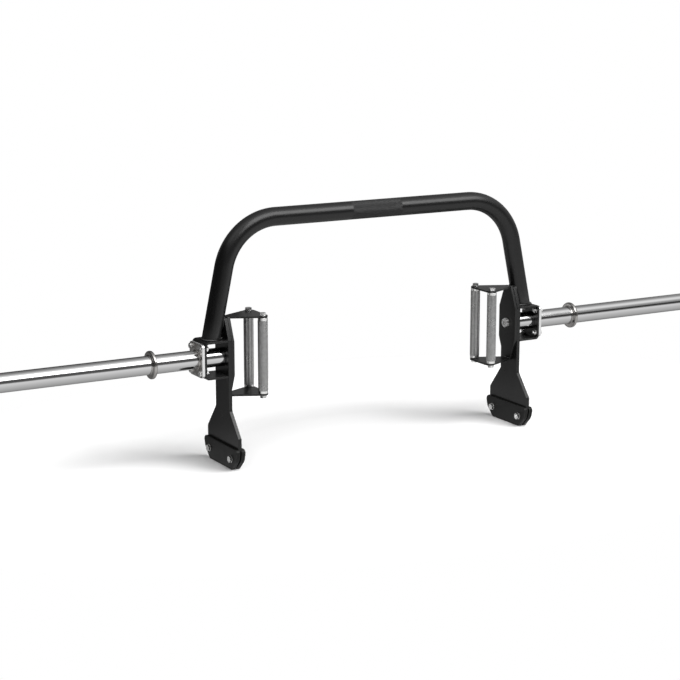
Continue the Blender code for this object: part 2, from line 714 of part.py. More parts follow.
def build_handle(side, frame, finishes):
    """The handle cage on its own pivot frame, and the pivot bolt that stays with the leg."""
    pivot = add_empty(f"handle_pivot_{side}", (0.0, 0.0, 0.0), parent=frame)
    back_shape, back_hole = back_plate_meshes()
    back = add_object(f"handle_back_plate_{side}", back_shape, finishes["black_powder_coat"], pivot)
    cut(back, add_cutter(f"back_hole_cutter_{side}", back_hole, pivot))
    for end, sense in (("top", 1.0), ("bottom", -1.0)):
        yoke_shape, yoke_holes = yoke_meshes(side)
        shift = YOKE_INNER_FACE if sense > 0 else -YOKE_OUTER_FACE
        yoke = add_object(f"handle_yoke_{end}_{side}", yoke_shape, finishes["black_powder_coat"], pivot)
        yoke.location.z = shift
        cutter = add_cutter(f"yoke_hole_cutter_{end}_{side}", yoke_holes, pivot)
        cutter.location.z = shift
        cut(yoke, cutter)
    length = YOKE_THICKNESS + 2 * SEAT_GAP + GRIP_BOLT_GRIP
    seat = YOKE_OUTER_FACE + SEAT_GAP
    for place, (x, y) in grip_places(side).items():
        add_object(f"grip_{place}_{side}", grip_mesh(), finishes["knurled_steel"], pivot, (x, y, 0.0))
        for end, sense in (("top", 1.0), ("bottom", -1.0)):
            mesh = bolt_mesh("grip_bolt", GRIP_BOLT, length, "Z")
            name = f"grip_bolt_{place}_{end}_{side}"
            bolt = add_object(name, mesh, finishes["zinc_plate"], pivot, (x, y, sense * seat))
            bolt.rotation_euler.x = 0.0 if sense > 0 else math.pi
    pivot_seat = BACK_INNER_FACE - SEAT_GAP
    reach = LEG_OUTER_FACE + SEAT_GAP + BOSS_LENGTH - BOLT_END_SPARE - pivot_seat
    bolt = add_object(
        f"pivot_bolt_{side}", bolt_mesh("pivot_bolt", PIVOT_BOLT, reach),
        finishes["zinc_plate"], frame, (pivot_seat, 0.0, 0.0),
    )
    bolt.rotation_euler.z = math.pi


def main():
    """Builds both side frames and the arch between them."""
    clear_scene()
    finishes = {name: make_finish(name) for name in FINISHES}
    side_frames = {}
    for side in SIDES:
        place = (sign_of(side) * LEG_SPACING / 2, 0.0, AXIS_HEIGHT)
        turn = 0.0 if side == "right" else math.pi
        side_frames[side] = add_empty(f"side_frame_{side}", place, turn)
    for side, frame in side_frames.items():
        build_leg(side, frame, finishes)
        build_bracket(side, frame, finishes)
        build_sleeve(side, frame, finishes)
        build_handle(side, frame, finishes)
    build_arch(finishes["black_powder_coat"], side_frames)


main()
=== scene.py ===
"""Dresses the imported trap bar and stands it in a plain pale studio.

Everything is in metres in the CAD model's frame: X along the bar, Y from front to back, and Z up
from the floor. What both sides share is shaped once in a side frame, whose origin is on the
sleeve's axis at the leg plate's inner face, with +X outboard. It is set down as it is on the
right, and turned by half a turn on the left.
"""

import sys
import json
import logging
import math
from collections.abc import Callable, Sequence
from dataclasses import dataclass, field
from enum import Enum
from functools import cache

import bmesh
import bpy
from mathutils import Matrix, Vector


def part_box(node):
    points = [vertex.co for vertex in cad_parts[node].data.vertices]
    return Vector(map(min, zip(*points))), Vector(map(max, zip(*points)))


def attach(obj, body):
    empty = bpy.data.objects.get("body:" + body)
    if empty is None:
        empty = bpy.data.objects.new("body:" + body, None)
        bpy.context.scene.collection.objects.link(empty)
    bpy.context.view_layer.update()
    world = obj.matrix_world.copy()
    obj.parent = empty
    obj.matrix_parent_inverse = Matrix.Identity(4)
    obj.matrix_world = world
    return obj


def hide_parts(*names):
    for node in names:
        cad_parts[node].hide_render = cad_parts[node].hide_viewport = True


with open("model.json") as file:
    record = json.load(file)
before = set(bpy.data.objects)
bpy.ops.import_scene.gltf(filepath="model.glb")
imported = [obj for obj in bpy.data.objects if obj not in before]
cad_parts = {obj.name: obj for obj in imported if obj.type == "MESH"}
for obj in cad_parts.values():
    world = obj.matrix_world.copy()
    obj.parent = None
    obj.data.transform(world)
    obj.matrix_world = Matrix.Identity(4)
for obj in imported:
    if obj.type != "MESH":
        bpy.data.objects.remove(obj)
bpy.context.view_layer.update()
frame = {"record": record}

LOG = logging.getLogger("trap_bar")
MM = 0.001
FULL_TURN = 2 * math.pi
QUARTER_TURN = math.pi / 2
CHAMFER_SLOPE = math.tan(math.radians(30.0))
SMOOTH_ANGLE = math.radians(35.0)
EDGE_ANGLE = math.radians(8.0)
ROUND_SIDES = 96
HOLE_SIDES = 48
RIM_STEPS = 3
RIM_SUPPORT = 0.8 * MM
CUTTER_RIM = 0.1 * MM
MERGE_DISTANCE = 0.001 * MM
SEAT_GAP = 0.3 * MM
BOSS_LENGTH = 0.030
BOLT_SPARE = 0.0025
CARD_LIFT = 4 * MM
PIECE_SHIFT = 40.0
FINER_SCALE = 3.1
FINER_SHARE = 0.3
MARK_DRIFT = 6.0
EDGE_MARK = "edge"
CARD_MARK = "level"
OUTBOARD = Vector((1.0, 0.0, 0.0))
BACKWARD = Vector((0.0, 1.0, 0.0))
UPWARD = Vector((0.0, 0.0, 1.0))

Pair = tuple[float, float]
Triple = tuple[float, float, float]
Ring = Sequence[bmesh.types.BMVert]
Place = Callable[[float, float, float], Vector]
Station = Pair | Callable[[float], Pair]


class Slot(Enum):
    """The record's material slots."""

    POWDER_COAT = "powder_coat"
    CHROME = "chrome"
    KNURLED_STEEL = "knurled_steel"
    ZINC = "zinc"
    MOULDING = "moulding"


class Side(Enum):
    """A side of the bar, with the sign of X on which it stands."""

    LEFT = -1
    RIGHT = 1

    @property
    def label(self) -> str:
        """The side's name, as its CAD nodes end with it."""
        return self.name.lower()

    @property
    def place(self) -> Matrix:
        """Where the side frame stands on the bar.

        Returns:
            The side frame's matrix.
        """
        plate_low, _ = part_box("leg_plate_right")
        sleeve_low, sleeve_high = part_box("loading_sleeve_right")
        origin = Vector((self.value * plate_low.x, 0.0, (sleeve_low.z + sleeve_high.z) / 2))
        turn = 0.0 if self is Side.RIGHT else math.pi
        return Matrix.Translation(origin) @ Matrix.Rotation(turn, 4, "Z")

    def ends(self, reach: float) -> dict[str, float]:
        """Y of the front and the back place in the side frame.

        Args:
            reach: How far each place is from the middle.

        Returns:
            Y by the word that the CAD nodes use.
        """
        return {"front": -self.value * reach, "back": self.value * reach}


class Facing(Enum):
    """The way a fastener's head faces in the side frame, as a turn of +Z about an axis."""

    OUTBOARD = (QUARTER_TURN, "Y")
    INBOARD = (-QUARTER_TURN, "Y")
    UP = (0.0, "X")
    DOWN = (math.pi, "X")

    @property
    def turn(self) -> Matrix:
        """The rotation that brings +Z to this way."""
        angle, axis = self.value
        return Matrix.Rotation(angle, 4, axis)


# Shapes


def across(u: float, v: float, depth: float) -> Vector:
    """Places an outline in the Y-Z plane, with its depth along X."""
    return Vector((depth, u, v))


def level(u: float, v: float, depth: float) -> Vector:
    """Places an outline in the X-Y plane, with its depth along Z."""
    return Vector((u, v, depth))


def through(u: float, v: float, depth: float) -> Vector:
    """Places an outline in the X-Z plane, with its depth along Y."""
    return Vector((u, depth, v))


def angles(count: int) -> list[float]:
    """The angles of evenly spaced corners round a full turn."""
    return [FULL_TURN * index / count for index in range(count)]


def circle(radius: float, u: float = 0.0, v: float = 0.0, sides: int = HOLE_SIDES) -> list[Vector]:
    """A round outline about (u, v)."""
    return [
        Vector((u + radius * math.cos(angle), v + radius * math.sin(angle))) for angle in angles(sides)
    ]


def ring_about(
    centre: Vector, first: Vector, second: Vector, radius: float, sides: int
) -> list[Vector]:
    """The points of a ring about a centre, in the plane of two directions."""
    return [
        centre + (first * math.cos(angle) + second * math.sin(angle)) * radius for angle in angles(sides)
    ]


def rounded_corner(
    corner: Vector,
    previous: Sequence[float],
    following: Sequence[float],
    radius: float,
    steps: int = 0,
) -> tuple[list[Vector], Vector, Vector]:
    """Turns a corner into an arc that its two sides run into.

    Args:
        corner: The corner.
        previous: The corner before it.
        following: The corner after it.
        radius: The arc's radius.
        steps: How many steps the arc has, or 0 for as many as a round outline has there.

    Returns:
        The arc's points, and the directions from the corner along its two sides.
    """
    before = (Vector(previous[:2]) - corner).normalized()
    after = (Vector(following[:2]) - corner).normalized()
    half = before.angle(after) / 2
    centre = corner + (before + after).normalized() * radius / math.sin(half)
    start = corner + before * radius / math.tan(half) - centre
    sweep = -math.copysign(math.pi - 2 * half, before.x * after.y - before.y * after.x)
    steps = steps or max(2, math.ceil(ROUND_SIDES * abs(sweep) / FULL_TURN))
    arc = [centre + Matrix.Rotation(sweep * step / steps, 2) @ start for step in range(steps + 1)]
    return arc, before, after


def rounded(corners: Sequence[Triple]) -> list[Vector]:
    """Turns corners into an outline, with each corner as an arc.

    Args:
        corners: The (u, v, radius) of each corner in order.

    Returns:
        The outline's points.
    """
    points = []
    for index, (u, v, radius) in enumerate(corners):
        following = corners[(index + 1) % len(corners)]
        if radius > 0.0:
            points += rounded_corner(Vector((u, v)), corners[index - 1], following, radius)[0]
        else:
            points.append(Vector((u, v)))
    return points


def softened(profile: Sequence[Triple]) -> list[Pair]:
    """Rounds the corners of an open profile for turning.

    Args:
        profile: The (along, radius, rounding) of each corner in order.

    Returns:
        The (along, radius) stations.
    """
    stations = []
    for index, (along, radius, rounding) in enumerate(profile):
        if rounding <= 0.0 or index in (0, len(profile) - 1):
            stations.append((along, radius))
            continue
        beside = profile[index - 1], profile[index + 1]
        arc, before, after = rounded_corner(Vector((along, radius)), *beside, rounding, RIM_STEPS + 1)
        run_in, run_out = arc[0] + before * RIM_SUPPORT / 2, arc[-1] + after * RIM_SUPPORT / 2
        stations += [tuple(point) for point in (run_in, *arc, run_out)]
    return stations


def mirrored(half: Sequence[Triple]) -> list[Triple]:
    """Mirrors the corners of a right half, from bottom to top, into a whole outline."""
    return list(half) + [(-u, v, radius) for u, v, radius in reversed(half)]


def turned_to(outline: Sequence[Vector], anticlockwise: bool) -> list[Vector]:
    """The same outline, run round in the way that is asked for."""
    area = sum(a.x * b.y - a.y * b.x for a, b in zip(outline, [*outline[1:], outline[0]]))
    return list(outline) if (area > 0) == anticlockwise else list(reversed(outline))


def moved_in(outline: Sequence[Vector], distance: float) -> list[Vector]:
    """Moves an outline to the left of its run, so that each of its sides shifts alike.

    Args:
        outline: The outline's points.
        distance: How far each side shifts.

    Returns:
        The moved points.
    """
    moved = []
    for index, point in enumerate(outline):
        before = (point - outline[index - 1]).normalized()
        after = (outline[(index + 1) % len(outline)] - point).normalized()
        first = Vector((-before.y, before.x))
        normal = (first + Vector((-after.y, after.x))).normalized()
        moved.append(point + normal * distance / normal.dot(first))
    return moved


def rim_stations(thickness: float, rim: float) -> list[Pair]:
    """The section of a plate's edge, from one face round to the other.

    Args:
        thickness: The plate's thickness.
        rim: The radius of its rims.

    Returns:
        The (depth, distance in from the outline) of each station.
    """
    near = [(0.0, rim + RIM_SUPPORT)]
    for step in range(RIM_STEPS + 1):
        angle = QUARTER_TURN * step / RIM_STEPS
        near.append((rim * (1 - math.cos(angle)), rim * (1 - math.sin(angle))))
    if thickness > 2 * (rim + RIM_SUPPORT):
        near.append((rim + RIM_SUPPORT, 0.0))
    return near + [(thickness - depth, inward) for depth, inward in reversed(near)]


def joined_rings(
    bm: bmesh.types.BMesh, first: Ring, second: Ring, creased_from: int | None = None
) -> None:
    """Joins two rings of corners by faces.

    Args:
        bm: The mesh in work.
        first: One ring.
        second: The next ring, with as many corners.
        creased_from: For a knurled stretch, 0 or 1: which corners of the first ring lie in the
            grooves. Each square is then folded along its groove.
    """
    count = len(first)
    for index in range(count):
        following = (index + 1) % count
        a, b, c, d = first[index], first[following], second[following], second[index]
        if creased_from is None:
            faces = [(a, b, c, d)]
        elif (index + creased_from) % 2 == 0:
            faces = [(a, b, c), (a, c, d)]
        else:
            faces = [(a, b, d), (b, c, d)]
        for face in faces:
            bm.faces.new(face)


def joined_run(
    bm: bmesh.types.BMesh,
    rings: Sequence[Ring],
    looped: bool = False,
    creases: Sequence[int | None] = (),
) -> None:
    """Joins each ring of corners to the next, and closes the run.

    Args:
        bm: The mesh in work.
        rings: The rings in order, with as many corners each.
        looped: Whether the last ring joins the first, instead of a face at each end.
        creases: For a knurled run, how the stretch from each ring is creased.
    """
    following = [*rings[1:], rings[0]] if looped else rings[1:]
    for index, (first, second) in enumerate(zip(rings, following)):
        joined_rings(bm, first, second, creases[index] if creases else None)
    if not looped:
        bm.faces.new(rings[0])
        bm.faces.new(rings[-1])


def mesh_of(name: str, bm: bmesh.types.BMesh) -> bpy.types.Mesh:
    """Turns a bmesh into a mesh.

    Args:
        name: The mesh's name.
        bm: The mesh in work, which is freed.

    Returns:
        The mesh.
    """
    mesh = bpy.data.meshes.new(name)
    bm.to_mesh(mesh)
    bm.free()
    return mesh


def closed_mesh(name: str, bm: bmesh.types.BMesh, marks: Sequence[float] = ()) -> bpy.types.Mesh:
    """Closes a bmesh into a mesh whose curved faces are smooth and whose edges are marked.

    Args:
        name: The mesh's name.
        bm: The mesh in work, which is freed.
        marks: How exposed each corner is, from 0 to 1, where the shape alone doesn't tell it.

    Returns:
        The mesh, with the exposure of its corners as an attribute.
    """
    bmesh.ops.recalc_face_normals(bm, faces=bm.faces)
    bm.normal_update()
    marks = marks or [
        float(any(vert.normal.angle(face.normal, 0.0) > EDGE_ANGLE for face in vert.link_faces))
        for vert in bm.verts
    ]
    mesh = mesh_of(name, bm)
    attribute = mesh.attributes.new(EDGE_MARK, "FLOAT", "POINT")
    attribute.data.foreach_set("value", list(marks))
    mesh.shade_smooth()
    mesh.set_sharp_from_angle(angle=SMOOTH_ANGLE)
    return mesh


def plate_mesh(
    name: str,
    outline: Sequence[Vector],
    holes: Sequence[Sequence[Vector]],
    start: float,
    end: float,
    place: Place = across,
    rim: float = CUTTER_RIM,
) -> bpy.types.Mesh:
    """A flat plate with holes through it and a round rim along every edge.

    Args:
        name: The mesh's name.
        outline: The plate's outline.
        holes: The outlines of its holes.
        start: Depth of its near face.
        end: Depth of its far face.
        place: Turns (u, v, depth) into X, Y, Z.
        rim: The radius of its rims.

    Returns:
        The plate's mesh.
    """
    bm = bmesh.new()
    caps: list[list[bmesh.types.BMEdge]] = [[], []]
    for loop in [turned_to(outline, True)] + [turned_to(hole, False) for hole in holes]:
        rings = []
        for depth, inward in rim_stations(end - start, rim):
            points = moved_in(loop, inward)
            rings.append([bm.verts.new(place(p.x, p.y, start + depth)) for p in points])
        for first, second in zip(rings, rings[1:]):
            joined_rings(bm, first, second)
        for cap, ring in zip(caps, (rings[0], rings[-1])):
            cap += [bm.edges.get((a, b)) for a, b in zip(ring, [*ring[1:], ring[0]])]
    for cap in caps:
        bmesh.ops.triangle_fill(bm, edges=cap, use_beauty=True)
    return closed_mesh(name, bm)


def turned_ring(bm: bmesh.types.BMesh, corners: Sequence[Pair], place: Place) -> Ring:
    """Adds a ring of evenly spaced corners about an axis through the origin.

    Args:
        bm: The mesh in work.
        corners: The (along, radius) of each corner in order.
        place: level for a ring about Z, or across for one about X.

    Returns:
        The ring's corners.
    """
    ring = []
    for angle, (along, radius) in zip(angles(len(corners)), corners):
        ring.append(bm.verts.new(place(radius * math.cos(angle), radius * math.sin(angle), along)))
    return ring


def turned_mesh(
    name: str,
    stations: Sequence[Station],
    sides: int = ROUND_SIDES,
    place: Place = level,
    looped: bool = False,
) -> bpy.types.Mesh:
    """A shape turned about an axis through the origin.

    Args:
        name: The mesh's name.
        stations: The (along, radius) of each ring, or a function that gives them for an angle.
        sides: How many corners each ring has.
        place: level for a shape about Z, or across for one about X.
        looped: Whether the last ring joins the first, instead of a face at each end.

    Returns:
        The turned mesh.
    """
    bm = bmesh.new()
    rings = []
    for station in stations:
        corners = [station(angle) if callable(station) else station for angle in angles(sides)]
        rings.append(turned_ring(bm, corners, place))
    joined_run(bm, rings, looped)
    return closed_mesh(name, bm)


def carved(mesh: bpy.types.Mesh, cutters: Sequence[bpy.types.Mesh]) -> bpy.types.Mesh:
    """Takes the volumes of some cutters out of a mesh.

    Args:
        mesh: The mesh to carve.
        cutters: Closed meshes, which are deleted afterwards.

    Returns:
        A new mesh under the first one's name.
    """
    name = mesh.name
    blank, *tools = [linked(f"{name}_{index}", shape) for index, shape in enumerate((mesh, *cutters))]
    for tool in tools:
        cut = blank.modifiers.new(tool.name, "BOOLEAN")
        cut.operation = "DIFFERENCE"
        cut.object = tool
        cut.solver = "EXACT"
    bpy.context.view_layer.update()
    evaluated = blank.evaluated_get(bpy.context.evaluated_depsgraph_get())
    bm = bmesh.new()
    bm.from_mesh(evaluated.to_mesh())
    evaluated.to_mesh_clear()
    for obj in (blank, *tools):
        spent = obj.data
        bpy.data.objects.remove(obj)
        bpy.data.meshes.remove(spent)
    bmesh.ops.remove_doubles(bm, verts=bm.verts, dist=MERGE_DISTANCE)
    return closed_mesh(name, bm)


@dataclass(frozen=True)
class Knurl:
    """A diamond knurl: straight pyramids between crossing grooves."""

    radius: float
    depth: float
    around: int
    pitch: float
    plain_mark: float = 0.5

    def mesh(
        self,
        name: str,
        start: float,
        end: float,
        lead_in: Sequence[Pair],
        lead_out: Sequence[Pair],
        place: Place = level,
        looped: bool = False,
    ) -> bpy.types.Mesh:
        """A bar or band with a knurled stretch between plain ones.

        Args:
            name: The mesh's name.
            start: Where the knurl starts along the axis.
            end: Where it ends.
            lead_in: Plain (along, radius) stations before it.
            lead_out: Plain stations after it.
            place: level for a bar about Z, or across for one about X.
            looped: Whether the last station joins the first, as in a band.

        Returns:
            The mesh, with the knurl's points marked as exposed and its grooves as not.
        """
        bm = bmesh.new()
        corners = 2 * self.around
        rings = [turned_ring(bm, [station] * corners, place) for station in lead_in]
        marks = [self.plain_mark] * (len(lead_in) * corners)
        creases: list[int | None] = [None] * len(lead_in)
        rows = 2 * round(abs(end - start) / self.pitch)
        for row in range(rows + 1):
            along = start + (end - start) * row / rows
            points = [float(row not in (0, rows) and (index + row) % 2 == 1) for index in range(corners)]
            radii = [self.radius - self.depth * (1 - point) for point in points]
            rings.append(turned_ring(bm, [(along, radius) for radius in radii], place))
            marks += points
            creases.append(None if row == rows else row % 2)
        rings += [turned_ring(bm, [station] * corners, place) for station in lead_out]
        marks += [self.plain_mark] * (len(lead_out) * corners)
        creases += [None] * len(lead_out)
        joined_run(bm, rings, looped, creases)
        return closed_mesh(name, bm, marks)


@dataclass(frozen=True)
class WeldBead:
    """A fillet weld laid in overlapping ripples along a path."""

    radius: float
    ripple: float = 0.20
    pitch: float = 2.6 * MM
    sides: int = 12
    steps_per_ripple: int = 7
    end_share: float = 0.25

    def resampled(self, path: Sequence[Vector], closed: bool) -> list[Vector]:
        """Points at even steps along a path.

        Args:
            path: The path's points.
            closed: Whether it runs back into its start.

        Returns:
            The points, with a whole number of ripples.
        """
        points = [*path, path[0]] if closed else list(path)
        lengths = [0.0]
        for before, after in zip(points, points[1:]):
            lengths.append(lengths[-1] + (after - before).length)
        count = max(1, round(lengths[-1] / self.pitch)) * self.steps_per_ripple
        placed, piece = [], 0
        for index in range(count if closed else count + 1):
            along = lengths[-1] * index / count
            while piece < len(points) - 2 and lengths[piece + 1] < along:
                piece += 1
            share = (along - lengths[piece]) / (lengths[piece + 1] - lengths[piece])
            placed.append(points[piece].lerp(points[piece + 1], share))
        return placed

    def mesh(
        self, name: str, path: Sequence[Vector], up: Vector, closed: bool = False
    ) -> bpy.types.Mesh:
        """Shapes the bead.

        Args:
            name: The mesh's name.
            path: The corner that the weld fills.
            up: A direction that is never along the path.
            closed: Whether the path runs back into its start.

        Returns:
            The bead's mesh.
        """
        points = self.resampled(path, closed)
        last = len(points) - 1
        bm = bmesh.new()
        rings = []
        for index, point in enumerate(points):
            after = points[(index + 1) % len(points)] if closed else points[min(index + 1, last)]
            before = points[index - 1] if closed or index else point
            along = (after - before).normalized()
            side = along.cross(up).normalized()
            phase = (index % self.steps_per_ripple) / self.steps_per_ripple
            radius = self.radius * (1 - self.ripple * phase**2)
            if not closed:
                from_end = min(index, last - index) / self.steps_per_ripple
                taper = min(1.0, self.end_share + (1 - self.end_share) * from_end)
                radius *= math.sin(QUARTER_TURN * taper)
            ring = ring_about(point, side, side.cross(along), radius, self.sides)
            rings.append([bm.verts.new(corner) for corner in ring])
        joined_run(bm, rings, closed)
        return closed_mesh(name, bm, [0.0] * (len(rings) * self.sides))


# Finishes


class Wiring:
    """Adds nodes to one node tree and joins them."""

    def __init__(self, tree: bpy.types.NodeTree) -> None:
        """Keeps the tree that the nodes go into."""
        self.tree = tree

    @classmethod
    def cleared(cls, block: bpy.types.Material | bpy.types.World) -> "Wiring":
        """Starts a material or a world from no nodes at all.

        Args:
            block: The material or world.

        Returns:
            Its wiring.
        """
        block.use_nodes = True
        block.node_tree.nodes.clear()
        return cls(block.node_tree)

    def node(
        self, kind: str, inputs: dict[str | int, object] | None = None, **settings: object
    ) -> bpy.types.Node:
        """Adds a node.

        Args:
            kind: The node's type, without its leading ShaderNode.
            inputs: Its inputs by name or number: a socket to link, or a value to set.
            **settings: Its properties.

        Returns:
            The node.
        """
        made = self.tree.nodes.new(kind if kind.startswith("NodeGroup") else f"ShaderNode{kind}")
        for key, value in settings.items():
            setattr(made, key, value)
        for key, value in (inputs or {}).items():
            if isinstance(value, bpy.types.NodeSocket):
                self.tree.links.new(value, made.inputs[key])
            else:
                made.inputs[key].default_value = value
        return made

    def maths(
        self, operation: str, first: object, second: object = 0.0, clamp: bool = False
    ) -> bpy.types.NodeSocket:
        """The result of a sum of two values or sockets."""
        return self.node("Math", {0: first, 1: second}, operation=operation, use_clamp=clamp).outputs[0]

    def mixed(self, share: object, first: object, second: object) -> bpy.types.NodeSocket:
        """A colour between two others."""
        return self.node("Mix", {0: share, 6: first, 7: second}, data_type="RGBA").outputs[2]

    def ranged(
        self, value: object, low: float, high: float, start: float = 0.0, end: float = 1.0
    ) -> bpy.types.NodeSocket:
        """A value between start and end, spread over low to high."""
        inputs = {"Value": value, "From Min": start, "From Max": end, "To Min": low, "To Max": high}
        return self.node("MapRange", inputs).outputs[0]

    def noise(self, scale: object, detail: float, vector: object | None = None) -> bpy.types.NodeSocket:
        """Noise that is shifted for each piece.

        Args:
            scale: Features to the metre.
            detail: How many finer layers it has.
            vector: Where it is read, or None for the piece's own coordinates.

        Returns:
            The noise, from 0 to 1.
        """
        vector = vector or self.node("TexCoord").outputs["Object"]
        shift = self.maths("MULTIPLY", self.node("ObjectInfo").outputs["Random"], PIECE_SHIFT)
        inputs = {"Vector": vector, "W": shift, "Scale": scale, "Detail": detail}
        return self.node("TexNoise", inputs, noise_dimensions="4D").outputs[0]


class Effect(Enum):
    """The effects that finishes share, each with its inputs and its one output."""

    GRAIN = ("surface_grain", (("Scale", 500.0), ("Depth", 1.0)), "Height")
    TONE = ("tone_drift", (("Scale", 20.0), ("Contrast", 1.0)), "Mask")
    # Edge scuffing, which on the coat and the moulding also paints a highlight along the rims.
    WEAR = ("edge_wear", (("Amount", 1.0), ("Patchiness", 0.5), ("Scale", 120.0)), "Mask")
    MARKS = ("turning_marks", (("Lines", 2600.0), ("Depth", 1.0)), "Height")

    @property
    @cache
    def group(self) -> bpy.types.NodeTree:
        """The effect's node group, which is made the first time it is asked for.

        Returns:
            The group.
        """
        name, inputs, output = self.value
        tree = bpy.data.node_groups.new(name, "ShaderNodeTree")
        for label, value in inputs:
            socket = tree.interface.new_socket(label, in_out="INPUT", socket_type="NodeSocketFloat")
            socket.default_value = value
        tree.interface.new_socket(output, in_out="OUTPUT", socket_type="NodeSocketFloat")
        wiring = Wiring(tree)
        given = wiring.node("NodeGroupInput").outputs
        makers = {
            Effect.GRAIN: self._grain,
            Effect.TONE: self._tone,
            Effect.WEAR: self._wear,
            Effect.MARKS: self._marks,
        }
        wiring.node("NodeGroupOutput", {output: makers[self](wiring, given)})
        return tree

    @staticmethod
    def _grain(wiring: Wiring, given: bpy.types.bpy_prop_collection) -> bpy.types.NodeSocket:
        """An orange-peel or moulded skin: soft cells with a finer grain on them.

        Args:
            wiring: The group's wiring.
            given: The group's inputs.

        Returns:
            The skin's height.
        """
        cells = wiring.noise(given["Scale"], 1.0)
        finer = wiring.noise(wiring.maths("MULTIPLY", given["Scale"], FINER_SCALE), 0.0)
        skin = wiring.maths("ADD", cells, wiring.maths("MULTIPLY", finer, FINER_SHARE))
        return wiring.maths("MULTIPLY", skin, given["Depth"])

    @staticmethod
    def _tone(wiring: Wiring, given: bpy.types.bpy_prop_collection) -> bpy.types.NodeSocket:
        """Slow, cloudy drift over a surface.

        Args:
            wiring: The group's wiring.
            given: The group's inputs.

        Returns:
            The drift, from 0 to 1.
        """
        clouds = wiring.noise(given["Scale"], 4.0)
        spread = wiring.maths("MULTIPLY", wiring.maths("SUBTRACT", clouds, 0.5), given["Contrast"])
        return wiring.maths("ADD", spread, 0.5, clamp=True)

    @staticmethod
    def _wear(wiring: Wiring, given: bpy.types.bpy_prop_collection) -> bpy.types.NodeSocket:
        """Where rims and points are scuffed, and where edges carry a painted highlight, in patches.

        Args:
            wiring: The group's wiring.
            given: The group's inputs.

        Returns:
            The scuffing and painted highlight, from 0 to 1.
        """
        mark = wiring.node("Attribute", attribute_name=EDGE_MARK).outputs["Fac"]
        loss = wiring.maths("MULTIPLY", wiring.noise(given["Scale"], 3.0), given["Patchiness"])
        kept = wiring.maths("SUBTRACT", given["Amount"], loss)
        return wiring.maths("MULTIPLY", mark, kept, clamp=True)

    @staticmethod
    def _marks(wiring: Wiring, given: bpy.types.bpy_prop_collection) -> bpy.types.NodeSocket:
        """Fine lines round a turned bar that lies along X.

        Args:
            wiring: The group's wiring.
            given: The group's inputs.

        Returns:
            The lines' height.
        """
        coordinates = wiring.node("TexCoord").outputs["Object"]
        split = wiring.node("SeparateXYZ", {0: coordinates}).outputs
        scales = {"X": given["Lines"], "Y": MARK_DRIFT, "Z": MARK_DRIFT}
        stretched = {
            axis: wiring.maths("MULTIPLY", split[axis], scale) for axis, scale in scales.items()
        }
        vector = wiring.node("CombineXYZ", stretched).outputs[0]
        return wiring.maths("MULTIPLY", wiring.noise(1.0, 2.0, vector), given["Depth"])

    def placed(self, wiring: Wiring, **values: float) -> bpy.types.NodeSocket:
        """Places the effect in a material with its own values.

        Args:
            wiring: The material's wiring.
            **values: The group's inputs by name.

        Returns:
            The effect's output.
        """
        return wiring.node("Group", values, node_tree=self.group).outputs[0]


@dataclass(frozen=True)
class Finish:
    """A surface finish. Depths are in metres and scales are in features to the metre."""

    name: str
    slot: Slot
    dark: Triple
    pale: Triple
    # Edge colour on exposed rims and points: scuffing on the metals, and a painted highlight on the coat
    # and the moulding.
    rubbed: Triple
    metallic: float
    roughness_low: float
    roughness_high: float
    specular: float = 0.5
    tone_scale: float = 14.0
    tone_contrast: float = 1.4
    smudge_scale: float = 35.0
    smudge_contrast: float = 1.8
    wear: float = 0.6
    patchiness: float = 0.6
    wear_scale: float = 90.0
    grain_scale: float = 500.0
    grain_depth: float = 0.02 * MM
    mark_lines: float = 2600.0
    mark_depth: float = 0.0

    @cache
    def material(self) -> bpy.types.Material:
        """The finish as a material, which is made the first time it is asked for.

        Returns:
            The material.
        """
        material = bpy.data.materials.new(self.name)
        material.use_nodes = True
        wiring = Wiring(material.node_tree)
        tone = Effect.TONE.placed(wiring, Scale=self.tone_scale, Contrast=self.tone_contrast)
        wear_and_glint_inputs = {"Amount": self.wear, "Patchiness": self.patchiness, "Scale": self.wear_scale}
        wear_and_glint_mask = Effect.WEAR.placed(wiring, **wear_and_glint_inputs)
        base = wiring.mixed(tone, (*self.dark, 1.0), (*self.pale, 1.0))
        smudge = Effect.TONE.placed(wiring, Scale=self.smudge_scale, Contrast=self.smudge_contrast)
        height = Effect.GRAIN.placed(wiring, Scale=self.grain_scale, Depth=self.grain_depth / MM)
        if self.mark_depth > 0.0:
            marks = Effect.MARKS.placed(wiring, Lines=self.mark_lines, Depth=self.mark_depth / MM)
            height = wiring.maths("ADD", height, marks)
        bump = wiring.node("Bump", {"Height": height, "Strength": 1.0, "Distance": MM})
        inputs = material.node_tree.nodes["Principled BSDF"].inputs
        links = {
            # Exposed rims and points take the edge colour, which on the coat and the moulding is partly a
            # painted highlight.
            "Base Color": wiring.mixed(wear_and_glint_mask, base, (*self.rubbed, 1.0)),
            "Roughness": wiring.ranged(smudge, self.roughness_low, self.roughness_high),
            "Normal": bump.outputs[0],
        }
        for label, socket in links.items():
            wiring.tree.links.new(socket, inputs[label])
        inputs["Metallic"].default_value = self.metallic
        inputs["Specular IOR Level"].default_value = self.specular
        return material


@dataclass(frozen=True)
class PowderCoat(Finish):
    """Satin black powder coat with an orange-peel skin."""

    name: str = "satin_powder_coat"
    slot: Slot = Slot.POWDER_COAT
    dark: Triple = (0.0035, 0.0035, 0.0036)
    pale: Triple = (0.0055, 0.0055, 0.0056)
    # Paler rims: a painted highlight along the coat's edges, partly scuffing.
    rubbed: Triple = (0.045, 0.045, 0.045)
    metallic: float = 0.0
    roughness_low: float = 0.26
    roughness_high: float = 0.33
    specular: float = 0.36
    grain_scale: float = 420.0
    grain_depth: float = 0.018 * MM


